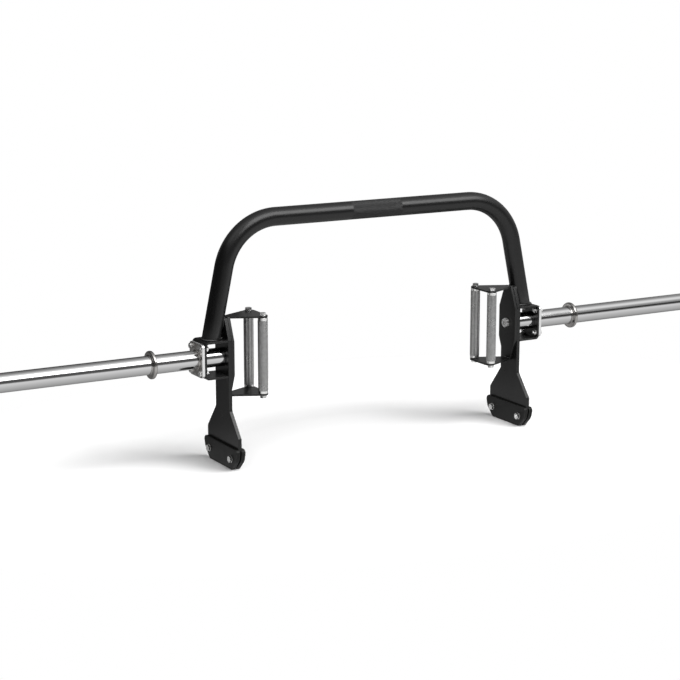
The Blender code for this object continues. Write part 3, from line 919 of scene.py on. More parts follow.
@dataclass(frozen=True)
class ChromePlate(Finish):
    """Polished chrome with faint turning marks under the plating."""

    name: str = "polished_chrome"
    slot: Slot = Slot.CHROME
    dark: Triple = (0.560, 0.560, 0.562)
    pale: Triple = (0.600, 0.600, 0.602)
    rubbed: Triple = (0.66, 0.66, 0.66)
    metallic: float = 1.0
    roughness_low: float = 0.05
    roughness_high: float = 0.12
    wear: float = 0.3
    grain_scale: float = 260.0
    grain_depth: float = 0.004 * MM
    mark_depth: float = 0.0012 * MM


@dataclass(frozen=True)
class KnurledSteel(Finish):
    """Bare knurled steel: dull in its grooves and bright on its points."""

    name: str = "knurled_steel"
    slot: Slot = Slot.KNURLED_STEEL
    dark: Triple = (0.22, 0.22, 0.22)
    pale: Triple = (0.36, 0.36, 0.36)
    rubbed: Triple = (0.74, 0.74, 0.73)
    metallic: float = 1.0
    roughness_low: float = 0.24
    roughness_high: float = 0.34
    tone_scale: float = 130.0
    tone_contrast: float = 2.4
    wear: float = 1.0
    patchiness: float = 0.5
    wear_scale: float = 240.0
    grain_scale: float = 1500.0
    grain_depth: float = 0.006 * MM


@dataclass(frozen=True)
class ZincPlate(Finish):
    """Bright zinc plating with the cloudy tints of a plated fastener."""

    name: str = "bright_zinc"
    slot: Slot = Slot.ZINC
    dark: Triple = (0.28, 0.28, 0.275)
    pale: Triple = (0.92, 0.92, 0.91)
    rubbed: Triple = (0.96, 0.96, 0.96)
    metallic: float = 1.0
    roughness_low: float = 0.14
    roughness_high: float = 0.38
    tone_scale: float = 190.0
    tone_contrast: float = 2.6
    smudge_scale: float = 240.0
    wear: float = 0.9
    grain_scale: float = 900.0
    grain_depth: float = 0.012 * MM


@dataclass(frozen=True)
class Moulding(Finish):
    """Tough black moulding with a fine matte grain."""

    name: str = "black_moulding"
    slot: Slot = Slot.MOULDING
    dark: Triple = (0.0034, 0.0034, 0.0033)
    pale: Triple = (0.0052, 0.0053, 0.0050)
    # Paler rims: a painted glint along the pad's edges, partly scuffing.
    rubbed: Triple = (0.060, 0.060, 0.059)
    metallic: float = 0.0
    roughness_low: float = 0.44
    roughness_high: float = 0.56
    specular: float = 0.26
    grain_scale: float = 1100.0
    grain_depth: float = 0.025 * MM


@dataclass(frozen=True)
class FinishBook:
    """The finishes of the bar's pieces."""

    coat: Finish = PowderCoat()
    matt_coat: Finish = PowderCoat(
        name="knurled_powder_coat", roughness_low=0.48, roughness_high=0.58, rubbed=(0.020, 0.020, 0.021),
    )
    weld_coat: Finish = PowderCoat(
        name="coated_weld", roughness_low=0.16, roughness_high=0.24, specular=0.5, grain_depth=0.05 * MM,
    )
    chrome: Finish = ChromePlate()
    flange_chrome: Finish = ChromePlate(
        name="clouded_chrome", dark=(0.17, 0.15, 0.13), pale=(0.60, 0.59, 0.58), rubbed=(0.90, 0.90, 0.90),
        roughness_low=0.08, roughness_high=0.24, tone_scale=70.0, tone_contrast=2.8, wear=1.0,
        patchiness=0.1, grain_depth=0.02 * MM, mark_depth=0.0,
    )
    edge_chrome: Finish = ChromePlate(
        name="bright_chrome", dark=(0.80, 0.80, 0.80), pale=(0.92, 0.92, 0.92), rubbed=(0.95, 0.95, 0.95),
        roughness_low=0.34, roughness_high=0.44, tone_scale=60.0, mark_depth=0.0,
    )
    ring_chrome: Finish = ChromePlate(
        name="dull_chrome", dark=(0.30, 0.29, 0.28), pale=(0.46, 0.45, 0.44), rubbed=(0.52, 0.51, 0.50),
        roughness_low=0.12, roughness_high=0.24, tone_scale=60.0, grain_depth=0.008 * MM,
    )
    steel: Finish = KnurledSteel()
    plain_steel: Finish = KnurledSteel(
        name="turned_steel", dark=(0.62, 0.62, 0.61), pale=(0.80, 0.80, 0.79), rubbed=(0.90, 0.90, 0.90),
        roughness_low=0.14, roughness_high=0.24, wear=0.5,
    )
    zinc: Finish = ZincPlate()
    pivot_zinc: Finish = ZincPlate(
        name="rubbed_zinc", dark=(0.30, 0.30, 0.29), pale=(1.0, 1.0, 0.99), roughness_low=0.40,
        roughness_high=0.66, tone_scale=240.0, tone_contrast=4.0,
    )
    moulding: Finish = Moulding()


# Pieces


def linked(name: str, data: bpy.types.ID, place: Matrix | None = None) -> bpy.types.Object:
    """Adds an object to the scene.

    Args:
        name: Its name.
        data: Its mesh, lamp or camera.
        place: Where its own origin goes, if not at the scene's.

    Returns:
        The new object.
    """
    obj = bpy.data.objects.new(name, data)
    bpy.context.scene.collection.objects.link(obj)
    obj.matrix_world = place or Matrix.Identity(4)
    return obj


def body_of(node: str) -> str:
    """The CAD body that a node belongs to."""
    bodies = frame["record"]["behaviour"]["bodies"]
    return next(body for body, nodes in bodies.items() if node in nodes)


def set_down(
    node: str,
    mesh: bpy.types.Mesh,
    finish: Finish,
    place: Matrix | None = None,
    name: str = "",
    stands_for: bool = True,
) -> bpy.types.Object:
    """Adds a dressed piece and hangs it on the CAD body of its node.

    Args:
        node: The CAD node that it belongs with.
        mesh: Its shape, which several pieces may share.
        finish: Its finish.
        place: Where the mesh's own origin goes.
        name: The piece's name, if it isn't simply the dressed node.
        stands_for: Whether the piece hides the node.

    Returns:
        The new piece.
    """
    piece = linked(name or f"dressed_{node}", mesh, place)
    if not mesh.materials:
        mesh.materials.append(finish.material())
    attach(piece, body_of(node))
    if stands_for:
        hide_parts(node)
    return piece


def two_finishes(
    mesh: bpy.types.Mesh,
    first: Finish,
    second: Finish,
    is_second: Callable[[bpy.types.MeshPolygon], bool],
) -> bpy.types.Mesh:
    """Gives a mesh one finish on some of its faces and another on the rest.

    Args:
        mesh: The mesh.
        first: The finish of most faces.
        second: The finish of the others.
        is_second: Tells which faces those are.

    Returns:
        The same mesh.
    """
    mesh.materials.append(first.material())
    mesh.materials.append(second.material())
    for polygon in mesh.polygons:
        polygon.material_index = int(is_second(polygon))
    return mesh


# Fasteners


@dataclass(frozen=True)
class HexFastener:
    """A hexagon bolt with its washer and nut. The seat is at the origin and the head towards +Z.

    The head's end is a run of (share of the dish's depth, share of the round face's radius), its
    bearing is one of (height over the seat, share of half the flats), and the shank's tip is one
    of (distance from its end, share of its radius).
    """

    shank: float
    flats: float
    head: float
    washer_radius: float
    washer: float = 1.2 * MM
    washer_rim: float = 0.25 * MM
    washer_play: float = 0.25 * MM
    washer_sink: float = 0.24 * MM
    washer_clearance: float = 0.02 * MM
    pitch: float = 1.25 * MM
    thread_depth: float = 0.45 * MM
    threaded: float = 12.0 * MM
    face_share: float = 0.93
    crown_share: float = 0.30
    dish: float = 0.35 * MM
    head_end: tuple[Pair, ...] = ((1.0, 0.60), (1.0, 0.64), (0.0, 0.74), (0.0, 0.96), (0.0, 1.0))
    collar: float = 0.35 * MM
    flat_support: float = 0.4 * MM
    bearing: tuple[Pair, ...] = ((0.30 * MM, 0.97), (0.0, 0.95))
    tip_start: float = MM
    tip: tuple[Pair, ...] = ((0.7 * MM, 0.86), (0.0, 0.78))
    nut_play: float = 0.05 * MM
    nut_chamfer: float = 0.5 * MM
    nut_seat_slope: float = 0.577
    sides: int = 72
    rows_per_turn: int = 6

    @property
    def face(self) -> float:
        """The radius of the round face at a head's or nut's end."""
        return self.flats / 2 * self.face_share

    def hexagon(self, angle: float) -> float:
        """The hexagon's radius at an angle."""
        sixth = math.pi / 3
        return self.flats / 2 / math.cos((angle + sixth / 2) % sixth - sixth / 2)

    def whole(self, height: float) -> Station:
        """The whole hexagon at a height."""
        return lambda angle: (height, self.hexagon(angle))

    def chamfered(self, height: float, slope: float = -CHAMFER_SLOPE) -> Station:
        """The edge of the chamfer round an end, which dips at each corner, or rises by its slope."""
        return lambda angle: (height + slope * (self.hexagon(angle) - self.face), self.hexagon(angle))

    def groove(self, turns: float) -> float:
        """How deep the thread is cut, some turns along it."""
        return self.thread_depth * abs(2 * (turns % 1.0) - 1)

    def thread_row(self, along: float) -> Station:
        """One ring of the thread, which winds on with the angle."""
        turns = along / self.pitch
        return lambda angle: (along, self.shank - self.groove(turns - angle / FULL_TURN))

    def thread(self, start: float, end: float) -> list[Station]:
        """The rings of a screw thread between two places along the axis."""
        rows = max(2, round(abs(end - start) / self.pitch * self.rows_per_turn))
        return [self.thread_row(start + (end - start) * row / rows) for row in range(rows + 1)]

    def bolt_mesh(self, name: str, length: float, under_washer: bool = True) -> bpy.types.Mesh:
        """The bolt.

        Args:
            name: The mesh's name.
            length: From the seat to the shank's end.
            under_washer: Whether the head stands on a washer.

        Returns:
            The bolt's mesh.
        """
        half = self.flats / 2
        seat = self.washer if under_washer else 0.0
        foot = seat + self.collar
        return turned_mesh(name, [
            *((self.head - depth * self.dish, share * self.face) for depth, share in self.head_end),
            self.chamfered(self.head),
            self.whole(self.head - self.crown_share * half),
            self.whole(foot + self.flat_support),
            self.whole(foot),
            *((seat + height, share * half) for height, share in self.bearing),
            (seat, self.shank),
            (self.threaded - length, self.shank),
            *self.thread(self.threaded - length, self.tip_start - length),
            *((inward - length, share * self.shank) for inward, share in self.tip),
        ], self.sides)

    def nut_mesh(self, name: str, height: float) -> bpy.types.Mesh:
        """The nut, standing from its seat towards +Z.

        Args:
            name: The mesh's name.
            height: How far it stands from the seat, with its washer.

        Returns:
            The nut's mesh.
        """
        bore = self.shank + self.nut_play
        return turned_mesh(name, [
            (self.washer, bore),
            (self.washer, self.face),
            self.chamfered(self.washer, self.nut_seat_slope),
            self.whole(height - self.crown_share * self.flats / 2),
            self.chamfered(height),
            (height, self.face),
            (height, bore + self.nut_chamfer),
            (height - self.nut_chamfer, bore),
        ], self.sides, looped=True)

    def washer_mesh(self, name: str) -> bpy.types.Mesh:
        """The washer, which lies on the seat and a little into its gap.

        Args:
            name: The mesh's name.

        Returns:
            The washer's mesh.
        """
        bore = self.shank + self.washer_play
        low, high = -self.washer_sink, self.washer - self.washer_clearance
        return turned_mesh(name, softened([
            (low, bore, 0.0),
            (low, self.washer_radius, self.washer_rim),
            (high, self.washer_radius, self.washer_rim),
            (high, bore, 0.0),
        ]), self.sides, looped=True)


@dataclass
class FastenerSet:
    """Shapes one kind of fastener once, and sets down each of its bolts, washers and nuts."""

    kind: str
    shape: HexFastener
    length: float
    finish: Finish
    nut: float = 0.0
    washers: bool = True
    spin_step: float = math.radians(47.0)
    count: int = field(init=False, default=0)
    meshes: dict[str, bpy.types.Mesh] = field(init=False, default_factory=dict)

    def __post_init__(self) -> None:
        """Shapes the meshes that all of this kind share."""
        self.meshes["bolt"] = self.shape.bolt_mesh(f"{self.kind}_bolt_shape", self.length, self.washers)
        if self.nut:
            self.meshes["nut"] = self.shape.nut_mesh(f"{self.kind}_nut_shape", self.nut)
        if self.washers:
            self.meshes["washer"] = self.shape.washer_mesh(f"{self.kind}_washer_shape")

    def spin(self) -> Matrix:
        """A turn about its own axis that differs from one fastener to the next."""
        self.count += 1
        return Matrix.Rotation(self.spin_step * self.count, 4, "Z")

    def add(
        self,
        node: str,
        side: Side,
        seat: Triple,
        facing: Facing,
        nut: bool = False,
        spin: Matrix | None = None,
    ) -> list[bpy.types.Object]:
        """Sets down a bolt or nut, and its washer if it has one.

        Args:
            node: The CAD bolt or nut that it stands for, which also names it.
            side: The side that it is on.
            seat: The place of its seat in the side frame.
            facing: The way its head faces.
            nut: Whether it is a nut.
            spin: Its turn about its own axis.

        Returns:
            The new pieces.
        """
        place = side.place @ Matrix.Translation(seat) @ facing.turn @ (spin or self.spin())
        pieces = [set_down(node, self.meshes["nut" if nut else "bolt"], self.finish, place)]
        if self.washers:
            pieces.append(set_down(node, self.meshes["washer"], self.finish, place, f"{node}_washer"))
        return pieces


# Sub-assemblies


@dataclass(frozen=True)
class LegShape:
    """The leg plate's and foot pad's outlines and holes, from the sleeve's axis down to the floor."""

    axis_height: float = 0.292
    thickness: float = 0.010
    neck_width: float = 0.080
    tongue_width: float = 0.034
    tongue_top: float = 0.105
    shoulder_top: float = 0.048
    foot_width: float = 0.184
    neck_end: float = 0.152
    flare_end: float = 0.087
    fillet: float = 0.006
    pad_height: float = 0.0595
    pad_top_width: float = 0.202
    pad_waist_width: float = 0.185
    pad_waist_height: float = 0.027
    pad_base_width: float = 0.130
    pad_rim: float = 0.0065
    pad_roundings: Triple = (0.005, 0.030, 0.011)
    pivot_hole: float = 0.0085
    foot_hole: float = 0.0055
    bolt_reach: float = 0.065
    bolt_height: float = 0.030

    @property
    def bolt_z(self) -> float:
        """Z of the foot bolts."""
        return self.bolt_height - self.axis_height

    def foot_holes(self) -> list[list[Vector]]:
        """The holes for the two foot bolts."""
        return [circle(self.foot_hole, y, self.bolt_z) for y in (-self.bolt_reach, self.bolt_reach)]

    def leg_outline(self, grown: float = 0.0) -> list[Vector]:
        """The leg plate's outline: foot, flare, neck and tapered tongue.

        Args:
            grown: How far the sides are moved out, for a pocket round the plate.

        Returns:
            The outline's points.
        """
        floor, rim = -self.axis_height, self.pad_rim
        waist = floor + self.pad_waist_height + rim / 2
        return rounded(mirrored([
            (self.pad_base_width / 2 - rim + grown, floor + rim - grown, self.fillet / 2),
            (self.pad_waist_width / 2 - rim + grown, waist, self.fillet),
            (self.foot_width / 2 + grown, floor + self.pad_height - rim, self.fillet),
            (self.foot_width / 2 + grown, floor + self.flare_end, self.fillet),
            (self.neck_width / 2 + grown, floor + self.neck_end, self.fillet * 2),
            (self.neck_width / 2 + grown, self.shoulder_top, self.fillet),
            (self.tongue_width / 2 + grown, self.tongue_top + grown, self.fillet / 2),
        ]))

    def pad_outline(self) -> list[Vector]:
        """The foot pad's outline: flat base, slanted sides and round top corners.

        Returns:
            The outline's points.
        """
        widths = (self.pad_base_width, self.pad_waist_width, self.pad_top_width)
        heights = (0.0, self.pad_waist_height, self.pad_height)
        corners = zip(widths, heights, self.pad_roundings)
        return rounded(mirrored([(width / 2, z - self.axis_height, soft) for width, z, soft in corners]))


@dataclass(frozen=True)
class SubAssembly:
    """A group of the bar's pieces, in the book's finishes and fitted to the leg plates."""

    finishes: FinishBook
    leg: LegShape = LegShape()

    def build(self) -> list[bpy.types.Object]:
        """Sets down every piece of the group."""
        raise NotImplementedError

    def add_weld(
        self, name: str, node: str, side: Side, mesh: bpy.types.Mesh, finish: Finish | None = None
    ) -> bpy.types.Object:
        """Sets down a weld, which rides with a node but doesn't stand for it.

        Args:
            name: Its name, without its side.
            node: The CAD node that it is laid on.
            side: The side that it is on.
            mesh: Its shape in the side frame.
            finish: Its finish, if it isn't coated.

        Returns:
            The new piece.
        """
        coated = finish or self.finishes.weld_coat
        return set_down(node, mesh, coated, side.place, f"{name}_{side.label}", stands_for=False)


@dataclass(frozen=True)
class ArchTube(SubAssembly):
    """The bent tube over the middle, with a knurled patch at its top."""

    radius: float = 0.025
    height: float = 0.652
    bend_radius: float = 0.155
    splay: float = math.radians(12.0)
    foot_offset: float = 0.0405
    foot_straight: float = 0.05
    box_top: float = 0.050
    sides: int = ROUND_SIDES
    bend_steps: int = 36
    patch_half: float = 0.077
    patch_edge: float = 0.6 * MM
    patch_seat: float = 0.5 * MM
    patch_play: float = 0.05 * MM
    patch_knurl: Knurl = Knurl(0.025, 0.35 * MM, 72, 2.9 * MM)
    foot_weld: WeldBead = WeldBead(4.4 * MM)
    foot_weld_rise: float = 0.4 * MM
    tongue_weld: WeldBead = WeldBead(2.6 * MM)
    tongue_weld_steps: int = 48
    tip_weld: WeldBead = WeldBead(2.4 * MM)
    tip_weld_steps: int = 32
    weld_rise: float = 0.2 * MM

    @property
    def half_axis(self) -> float:
        """Half the tube's width along X where it is cut level."""
        return self.radius / math.cos(self.splay)

    def half_path(self) -> list[tuple[Vector, Vector, float]]:
        """Stations from the right foot to the middle of the top.

        Returns:
            The centre, direction and radius of each.
        """
        side = Side.RIGHT.place.translation
        bend_z = self.height - self.bend_radius
        leg_end_z = bend_z + self.bend_radius * math.sin(self.splay)
        box_top = side.z + self.box_top
        lean = (leg_end_z - box_top) * math.tan(self.splay)
        bend_x = side.x + self.foot_offset - lean - self.bend_radius * math.cos(self.splay)
        up_leg = Vector((-math.sin(self.splay), 0.0, math.cos(self.splay)))
        foot = Vector((side.x + self.foot_offset, 0.0, box_top))
        path = [(centre, up_leg, self.radius) for centre in (foot, foot + up_leg * self.foot_straight)]
        for step in range(self.bend_steps + 1):
            angle = self.splay + (QUARTER_TURN - self.splay) * step / self.bend_steps
            outward = Vector((math.cos(angle), 0.0, math.sin(angle)))
            centre = Vector((bend_x, 0.0, bend_z)) + outward * self.bend_radius
            path.append((centre, Vector((-math.sin(angle), 0.0, math.cos(angle))), self.radius))
        stops = [
            (self.patch_half + self.patch_edge, self.radius),
            (self.patch_half, self.radius),
            (self.patch_half, self.radius - self.patch_seat),
        ]
        return path + [(Vector((x, 0.0, self.height)), -OUTBOARD, radius) for x, radius in stops]

    def tube_mesh(self) -> bpy.types.Mesh:
        """The tube in one run, cut level at its feet and notched round the leg plates.

        Returns:
            The tube's mesh.
        """
        path = self.half_path()
        over, down = Vector((-1.0, 1.0, 1.0)), Vector((1.0, 1.0, -1.0))
        path += [(centre * over, direction * down, radius) for centre, direction, radius in path[::-1]]
        foot_height = Side.RIGHT.place.translation.z + self.box_top + SEAT_GAP
        bm = bmesh.new()
        rings = []
        for index, (centre, direction, radius) in enumerate(path):
            outward = Vector((direction.z, 0.0, -direction.x))
            points = ring_about(centre, outward, BACKWARD, radius, self.sides)
            if index in (0, len(path) - 1):
                points = [p + direction * (foot_height - p.z) / direction.z for p in points]
            rings.append([bm.verts.new(point) for point in points])
        joined_run(bm, rings)
        cutters = []
        for side in Side:
            outline, end = self.leg.leg_outline(SEAT_GAP), self.leg.thickness + SEAT_GAP
            cutters.append(plate_mesh(f"notch_{side.label}", outline, [], -self.radius, end))
            cutters[-1].transform(side.place)
        return carved(closed_mesh("arch_tube_shape", bm), cutters)

    def patch_mesh(self) -> bpy.types.Mesh:
        """The knurled patch, a thin band let into the tube's top.

        Returns:
            The patch's mesh.
        """
        end, seat = self.patch_half - self.patch_play, self.radius - self.patch_seat + self.patch_play
        leads = [(-end, seat)], [(end, seat)]
        return self.patch_knurl.mesh("arch_knurl_shape", -end, end, *leads, across, looped=True)

    def foot_weld_path(self) -> list[Vector]:
        """The tube's outline on the box bracket's top, in the side frame.

        Returns:
            The path's points.
        """
        rise = self.foot_weld_rise
        points = []
        for angle in angles(self.sides):
            x = self.foot_offset + (self.half_axis + rise) * math.cos(angle)
            points.append(Vector((x, (self.radius + rise) * math.sin(angle), self.box_top + rise)))
        return points

    def tongue_weld_path(self) -> list[Vector]:
        """Where the tube's side meets the leg plate's outer face, in the side frame.

        Returns:
            The path's points.
        """
        x = self.leg.thickness + self.weld_rise
        points = []
        for step in range(self.tongue_weld_steps + 1):
            y = self.leg.tongue_width / 2 * (2 * step / self.tongue_weld_steps - 1)
            centre = x + self.half_axis * math.sqrt(1 - (y / self.radius) ** 2)
            z = self.box_top + (self.foot_offset - centre) / math.tan(self.splay)
            points.append(Vector((x, y, min(z, self.leg.tongue_top))))
        return points

    def tip_weld_path(self) -> list[Vector]:
        """Where the tube meets the top edge of the tongue, in the side frame.

        Returns:
            The path's points.
        """
        z = self.leg.tongue_top
        centre = self.foot_offset - (z - self.box_top) * math.tan(self.splay)
        points = []
        for step in range(self.tip_weld_steps + 1):
            y = self.leg.tongue_width / 2 * (2 * step / self.tip_weld_steps - 1)
            x = centre - self.half_axis * math.sqrt(1 - (y / self.radius) ** 2)
            points.append(Vector((x, y, z + self.weld_rise)))
        return points

    def build(self) -> list[bpy.types.Object]:
        """Sets down the tube, its patch and its welds.

        Returns:
            The new pieces.
        """
        lift = Matrix.Translation((0.0, 0.0, self.height))
        pieces = [
            set_down("arch_tube", self.tube_mesh(), self.finishes.coat),
            set_down("arch_tube", self.patch_mesh(), self.finishes.matt_coat, lift, "arch_knurl"),
        ]
        welds = {
            "arch_foot_weld": (self.foot_weld, self.foot_weld_path(), UPWARD, True),
            "arch_tongue_weld": (self.tongue_weld, self.tongue_weld_path(), OUTBOARD, False),
            "arch_tip_weld": (self.tip_weld, self.tip_weld_path(), UPWARD, False),
        }
        meshes = {name: bead.mesh(f"{name}_shape", *laid) for name, (bead, *laid) in welds.items()}
        for side in Side:
            for name, mesh in meshes.items():
                pieces.append(self.add_weld(name, "arch_tube", side, mesh))
        return pieces


@dataclass(frozen=True)
class LegPlates(SubAssembly):
    """The two leg plates, with their pivot and foot bolt holes."""

    rim: float = 0.9 * MM

    def build(self) -> list[bpy.types.Object]:
        """Sets down both leg plates.

        Returns:
            The new pieces.
        """
        holes = [circle(self.leg.pivot_hole), *self.leg.foot_holes()]
        outline = self.leg.leg_outline()
        mesh = plate_mesh("leg_plate_shape", outline, holes, 0.0, self.leg.thickness, rim=self.rim)
        return [set_down(f"leg_plate_{side.label}", mesh, self.finishes.coat, side.place) for side in Side]


@dataclass(frozen=True)
class FootPads(SubAssembly):
    """The moulded halves that clamp each leg's foot, with the bolts through them."""

    thickness: float = 0.011
    cover: float = 0.0082
    rim: float = 1.8 * MM
    nut: float = 0.0080
    bolt: HexFastener = HexFastener(0.0050, 0.0165, 0.0072, 10.0 * MM, washer=1.5 * MM)

    @property
    def outer_face(self) -> float:
        """X of the outer pad's face."""
        return self.leg.thickness + SEAT_GAP + self.cover

    def pad_mesh(self, name: str, start: float) -> bpy.types.Mesh:
        """One pad, with the pocket for the plate and the holes for the bolts.

        Args:
            name: The mesh's name.
            start: X of its nearer face.

        Returns:
            The pad's mesh.
        """
        outline, end = self.leg.pad_outline(), start + self.thickness
        pad = plate_mesh(name, outline, self.leg.foot_holes(), start, end, rim=self.rim)
        pocket, end = self.leg.leg_outline(SEAT_GAP), self.leg.thickness + SEAT_GAP
        return carved(pad, [plate_mesh(f"{name}_pocket", pocket, [], -SEAT_GAP, end)])

    def build(self) -> list[bpy.types.Object]:
        """Sets down the pads, bolts, nuts and washers of both feet.

        Returns:
            The new pieces.
        """
        starts = {"outer": self.outer_face - self.thickness, "inner": self.leg.thickness - self.outer_face}
        meshes = {half: self.pad_mesh(f"foot_pad_{half}_shape", start) for half, start in starts.items()}
        seat = self.outer_face + SEAT_GAP
        nut_seat = self.leg.thickness - seat
        length = seat - nut_seat + self.nut + BOLT_SPARE
        fasteners = FastenerSet("foot", self.bolt, length, self.finishes.zinc, self.nut)
        z = self.leg.bolt_z
        pieces = []
        for side in Side:
            for half, mesh in meshes.items():
                pad = f"foot_pad_{half}_{side.label}"
                pieces.append(set_down(pad, mesh, self.finishes.moulding, side.place))
            for end, y in side.ends(self.leg.bolt_reach).items():
                bolt, nut = (f"foot_{kind}_{end}_{side.label}" for kind in ("bolt", "nut"))
                pieces += fasteners.add(bolt, side, (seat, y, z), Facing.OUTBOARD)
                pieces += fasteners.add(nut, side, (nut_seat, y, z), Facing.INBOARD, nut=True)
        return pieces


@dataclass(frozen=True)
class SleeveMount(SubAssembly):
    """Box brackets, flanges, loading sleeves and stop rings, with the bolts that hold them."""

    box_width: float = 0.0665
    box_height: float = 0.100
    box_wall: float = 0.005
    box_corner: float = 0.011
    box_rim: float = 0.7 * MM
    box_weld: WeldBead = WeldBead(2.3 * MM)
    box_weld_rise: Pair = (0.4 * MM, 0.3 * MM)
    top_weld_reach: float = 0.0365
    bottom_weld_reach: float = 0.0385
    flange: float = 0.008
    flange_width: float = 0.078
    flange_height: float = 0.089
    flange_corner: float = 0.010
    flange_rim: float = 0.9 * MM
    flange_edge_lean: float = 0.5
    flange_weld: WeldBead = WeldBead(2.0 * MM, 0.16)
    flange_weld_rise: Pair = (0.3 * MM, 0.5 * MM)
    bolt_y: float = 0.0285
    bolt_z: float = 0.0325
    bolt_hole: float = 0.0045
    sleeve_radius: float = 0.025
    sleeve_hole: float = 0.0255
    sleeve_rim: float = 1.5 * MM
    tapping: float = 0.0083
    end_plate: float = 0.0216
    end_plate_inset: float = 0.2 * MM
    groove_depth: float = 0.9 * MM
    groove_slant: float = 0.7 * MM
    groove_rounding: float = 0.3 * MM
    ring_radius: float = 0.037
    ring_width: float = 0.010
    ring_offset: float = 0.2135
    ring_rim: float = 3.6 * MM
    ring_fillet: float = 2.6 * MM
    ring_play: float = 0.05 * MM
    fillet_steps: int = 6
    nut: float = 0.0068
    bolt: HexFastener = HexFastener(
        0.0040, 0.0130, 0.0053, 8.0 * MM, washer=1.0 * MM, threaded=9.0 * MM,
    )

    @property
    def box_face(self) -> float:
        """X of the box bracket's outer face."""
        return self.leg.thickness + self.box_width

    @property
    def flange_face(self) -> float:
        """X of the flange's outer face."""
        return self.box_face + SEAT_GAP + self.flange

    def holes(self) -> list[list[Vector]]:
        """The sleeve hole and four bolt holes that the bracket and the flange share.

        Returns:
            Their outlines.
        """
        holes = [circle(self.sleeve_hole, sides=ROUND_SIDES)]
        for y in (-self.bolt_y, self.bolt_y):
            holes += [circle(self.bolt_hole, y, z) for z in (-self.bolt_z, self.bolt_z)]
        return holes

    def box_mesh(self) -> bpy.types.Mesh:
        """The bent channel, with its holes cut.

        Returns:
            The bracket's mesh.
        """
        near, far = self.leg.thickness + SEAT_GAP, self.box_face
        half, wall = self.box_height / 2, self.box_wall
        bend = self.box_corner - wall
        outside = [(near, half, 0.0), (far, half, self.box_corner)]
        inside = [(far - wall, half - wall, bend), (near, half - wall, 0.0)]
        lower = [(x, -z, radius) for x, z, radius in outside + inside]
        channel = rounded([*lower[:2], *reversed(outside), *reversed(inside), *lower[2:]])
        depth = self.leg.neck_width / 2
        box = plate_mesh("box_bracket_shape", channel, [], -depth, depth, through, self.box_rim)
        return carved(box, [
            plate_mesh("box_cutter", hole, [], far - 2 * wall, far + wall) for hole in self.holes()
        ])

    def flange_mesh(self) -> bpy.types.Mesh:
        """The flange, a plate with round corners and brighter edges.

        Returns:
            The flange's mesh.
        """
        y, z = self.flange_width / 2, self.flange_height / 2
        outline = rounded(mirrored([(y, -z, self.flange_corner), (y, z, self.flange_corner)]))
        start = self.box_face + SEAT_GAP
        mesh = plate_mesh(
            "sleeve_flange_shape", outline, self.holes(), start, self.flange_face, rim=self.flange_rim,
        )
        flat, edge = self.finishes.flange_chrome, self.finishes.edge_chrome
        return two_finishes(mesh, flat, edge, lambda face: abs(face.normal.x) < self.flange_edge_lean)

    def sleeve_mesh(self) -> bpy.types.Mesh:
        """The sleeve, turned with soft rims, and a plate let into its outer end.

        Returns:
            The sleeve's mesh.
        """
        start = self.leg.thickness + SEAT_GAP
        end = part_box("loading_sleeve_right")[1].x - Side.RIGHT.place.translation.x
        return turned_mesh("loading_sleeve_shape", softened([
            (start + BOSS_LENGTH, self.tapping, 0.0),
            (start, self.tapping, 0.0),
            (start, self.sleeve_radius, self.sleeve_rim),
            (end, self.sleeve_radius, self.sleeve_rim),
            (end, self.end_plate + self.groove_slant, self.groove_rounding),
            (end - self.groove_depth, self.end_plate, 0.0),
            (end - self.end_plate_inset, self.end_plate - self.groove_slant, 0.0),
        ]), place=across)

    def ring_mesh(self) -> bpy.types.Mesh:
        """The stop ring, with soft rims and a small fillet on each side against the sleeve.

        Returns:
            The ring's mesh.
        """
        start, end = self.ring_offset - self.ring_width / 2, self.ring_offset + self.ring_width / 2
        bore, fillet = self.sleeve_radius + self.ring_play, self.ring_fillet
        inner = []
        for step in range(self.fillet_steps + 1):
            angle = QUARTER_TURN * step / self.fillet_steps
            along = start - fillet * (1 - math.sin(angle))
            inner.append((along, bore + fillet * (1 - math.cos(angle))))
        outer = [(start + end - along, radius) for along, radius in reversed(inner)]
        rim = softened([
            (start, bore + fillet, 0.0),
            (start, self.ring_radius, self.ring_rim),
            (end, self.ring_radius, self.ring_rim),
            (end, bore + fillet, 0.0),
        ])
        return turned_mesh("stop_ring_shape", inner[:-1] + rim + outer[1:], place=across, looped=True)

    def bracket_welds(self) -> dict[str, bpy.types.Mesh]:
        """The beads between the bracket and the leg plate, above and below.

        Returns:
            Their meshes by name.
        """
        x = self.leg.thickness + self.box_weld_rise[0]
        height = self.box_height / 2 + self.box_weld_rise[1]
        ends = {"top": (height, self.top_weld_reach), "bottom": (-height, self.bottom_weld_reach)}
        welds = {}
        for end, (z, reach) in ends.items():
            path = [Vector((x, y, z)) for y in (-reach, reach)]
            welds[f"box_weld_{end}"] = self.box_weld.mesh(f"box_weld_{end}_shape", path, UPWARD)
        return welds

    def ring_weld(self) -> bpy.types.Mesh:
        """The bead round the sleeve on the flange's outer face.

        Returns:
            The bead's mesh.
        """
        x = self.flange_face + self.flange_weld_rise[0]
        around = circle(self.sleeve_radius + self.flange_weld_rise[1], sides=ROUND_SIDES)
        path = [Vector((x, point.x, point.y)) for point in around]
        return self.flange_weld.mesh("flange_weld_shape", path, OUTBOARD, closed=True)

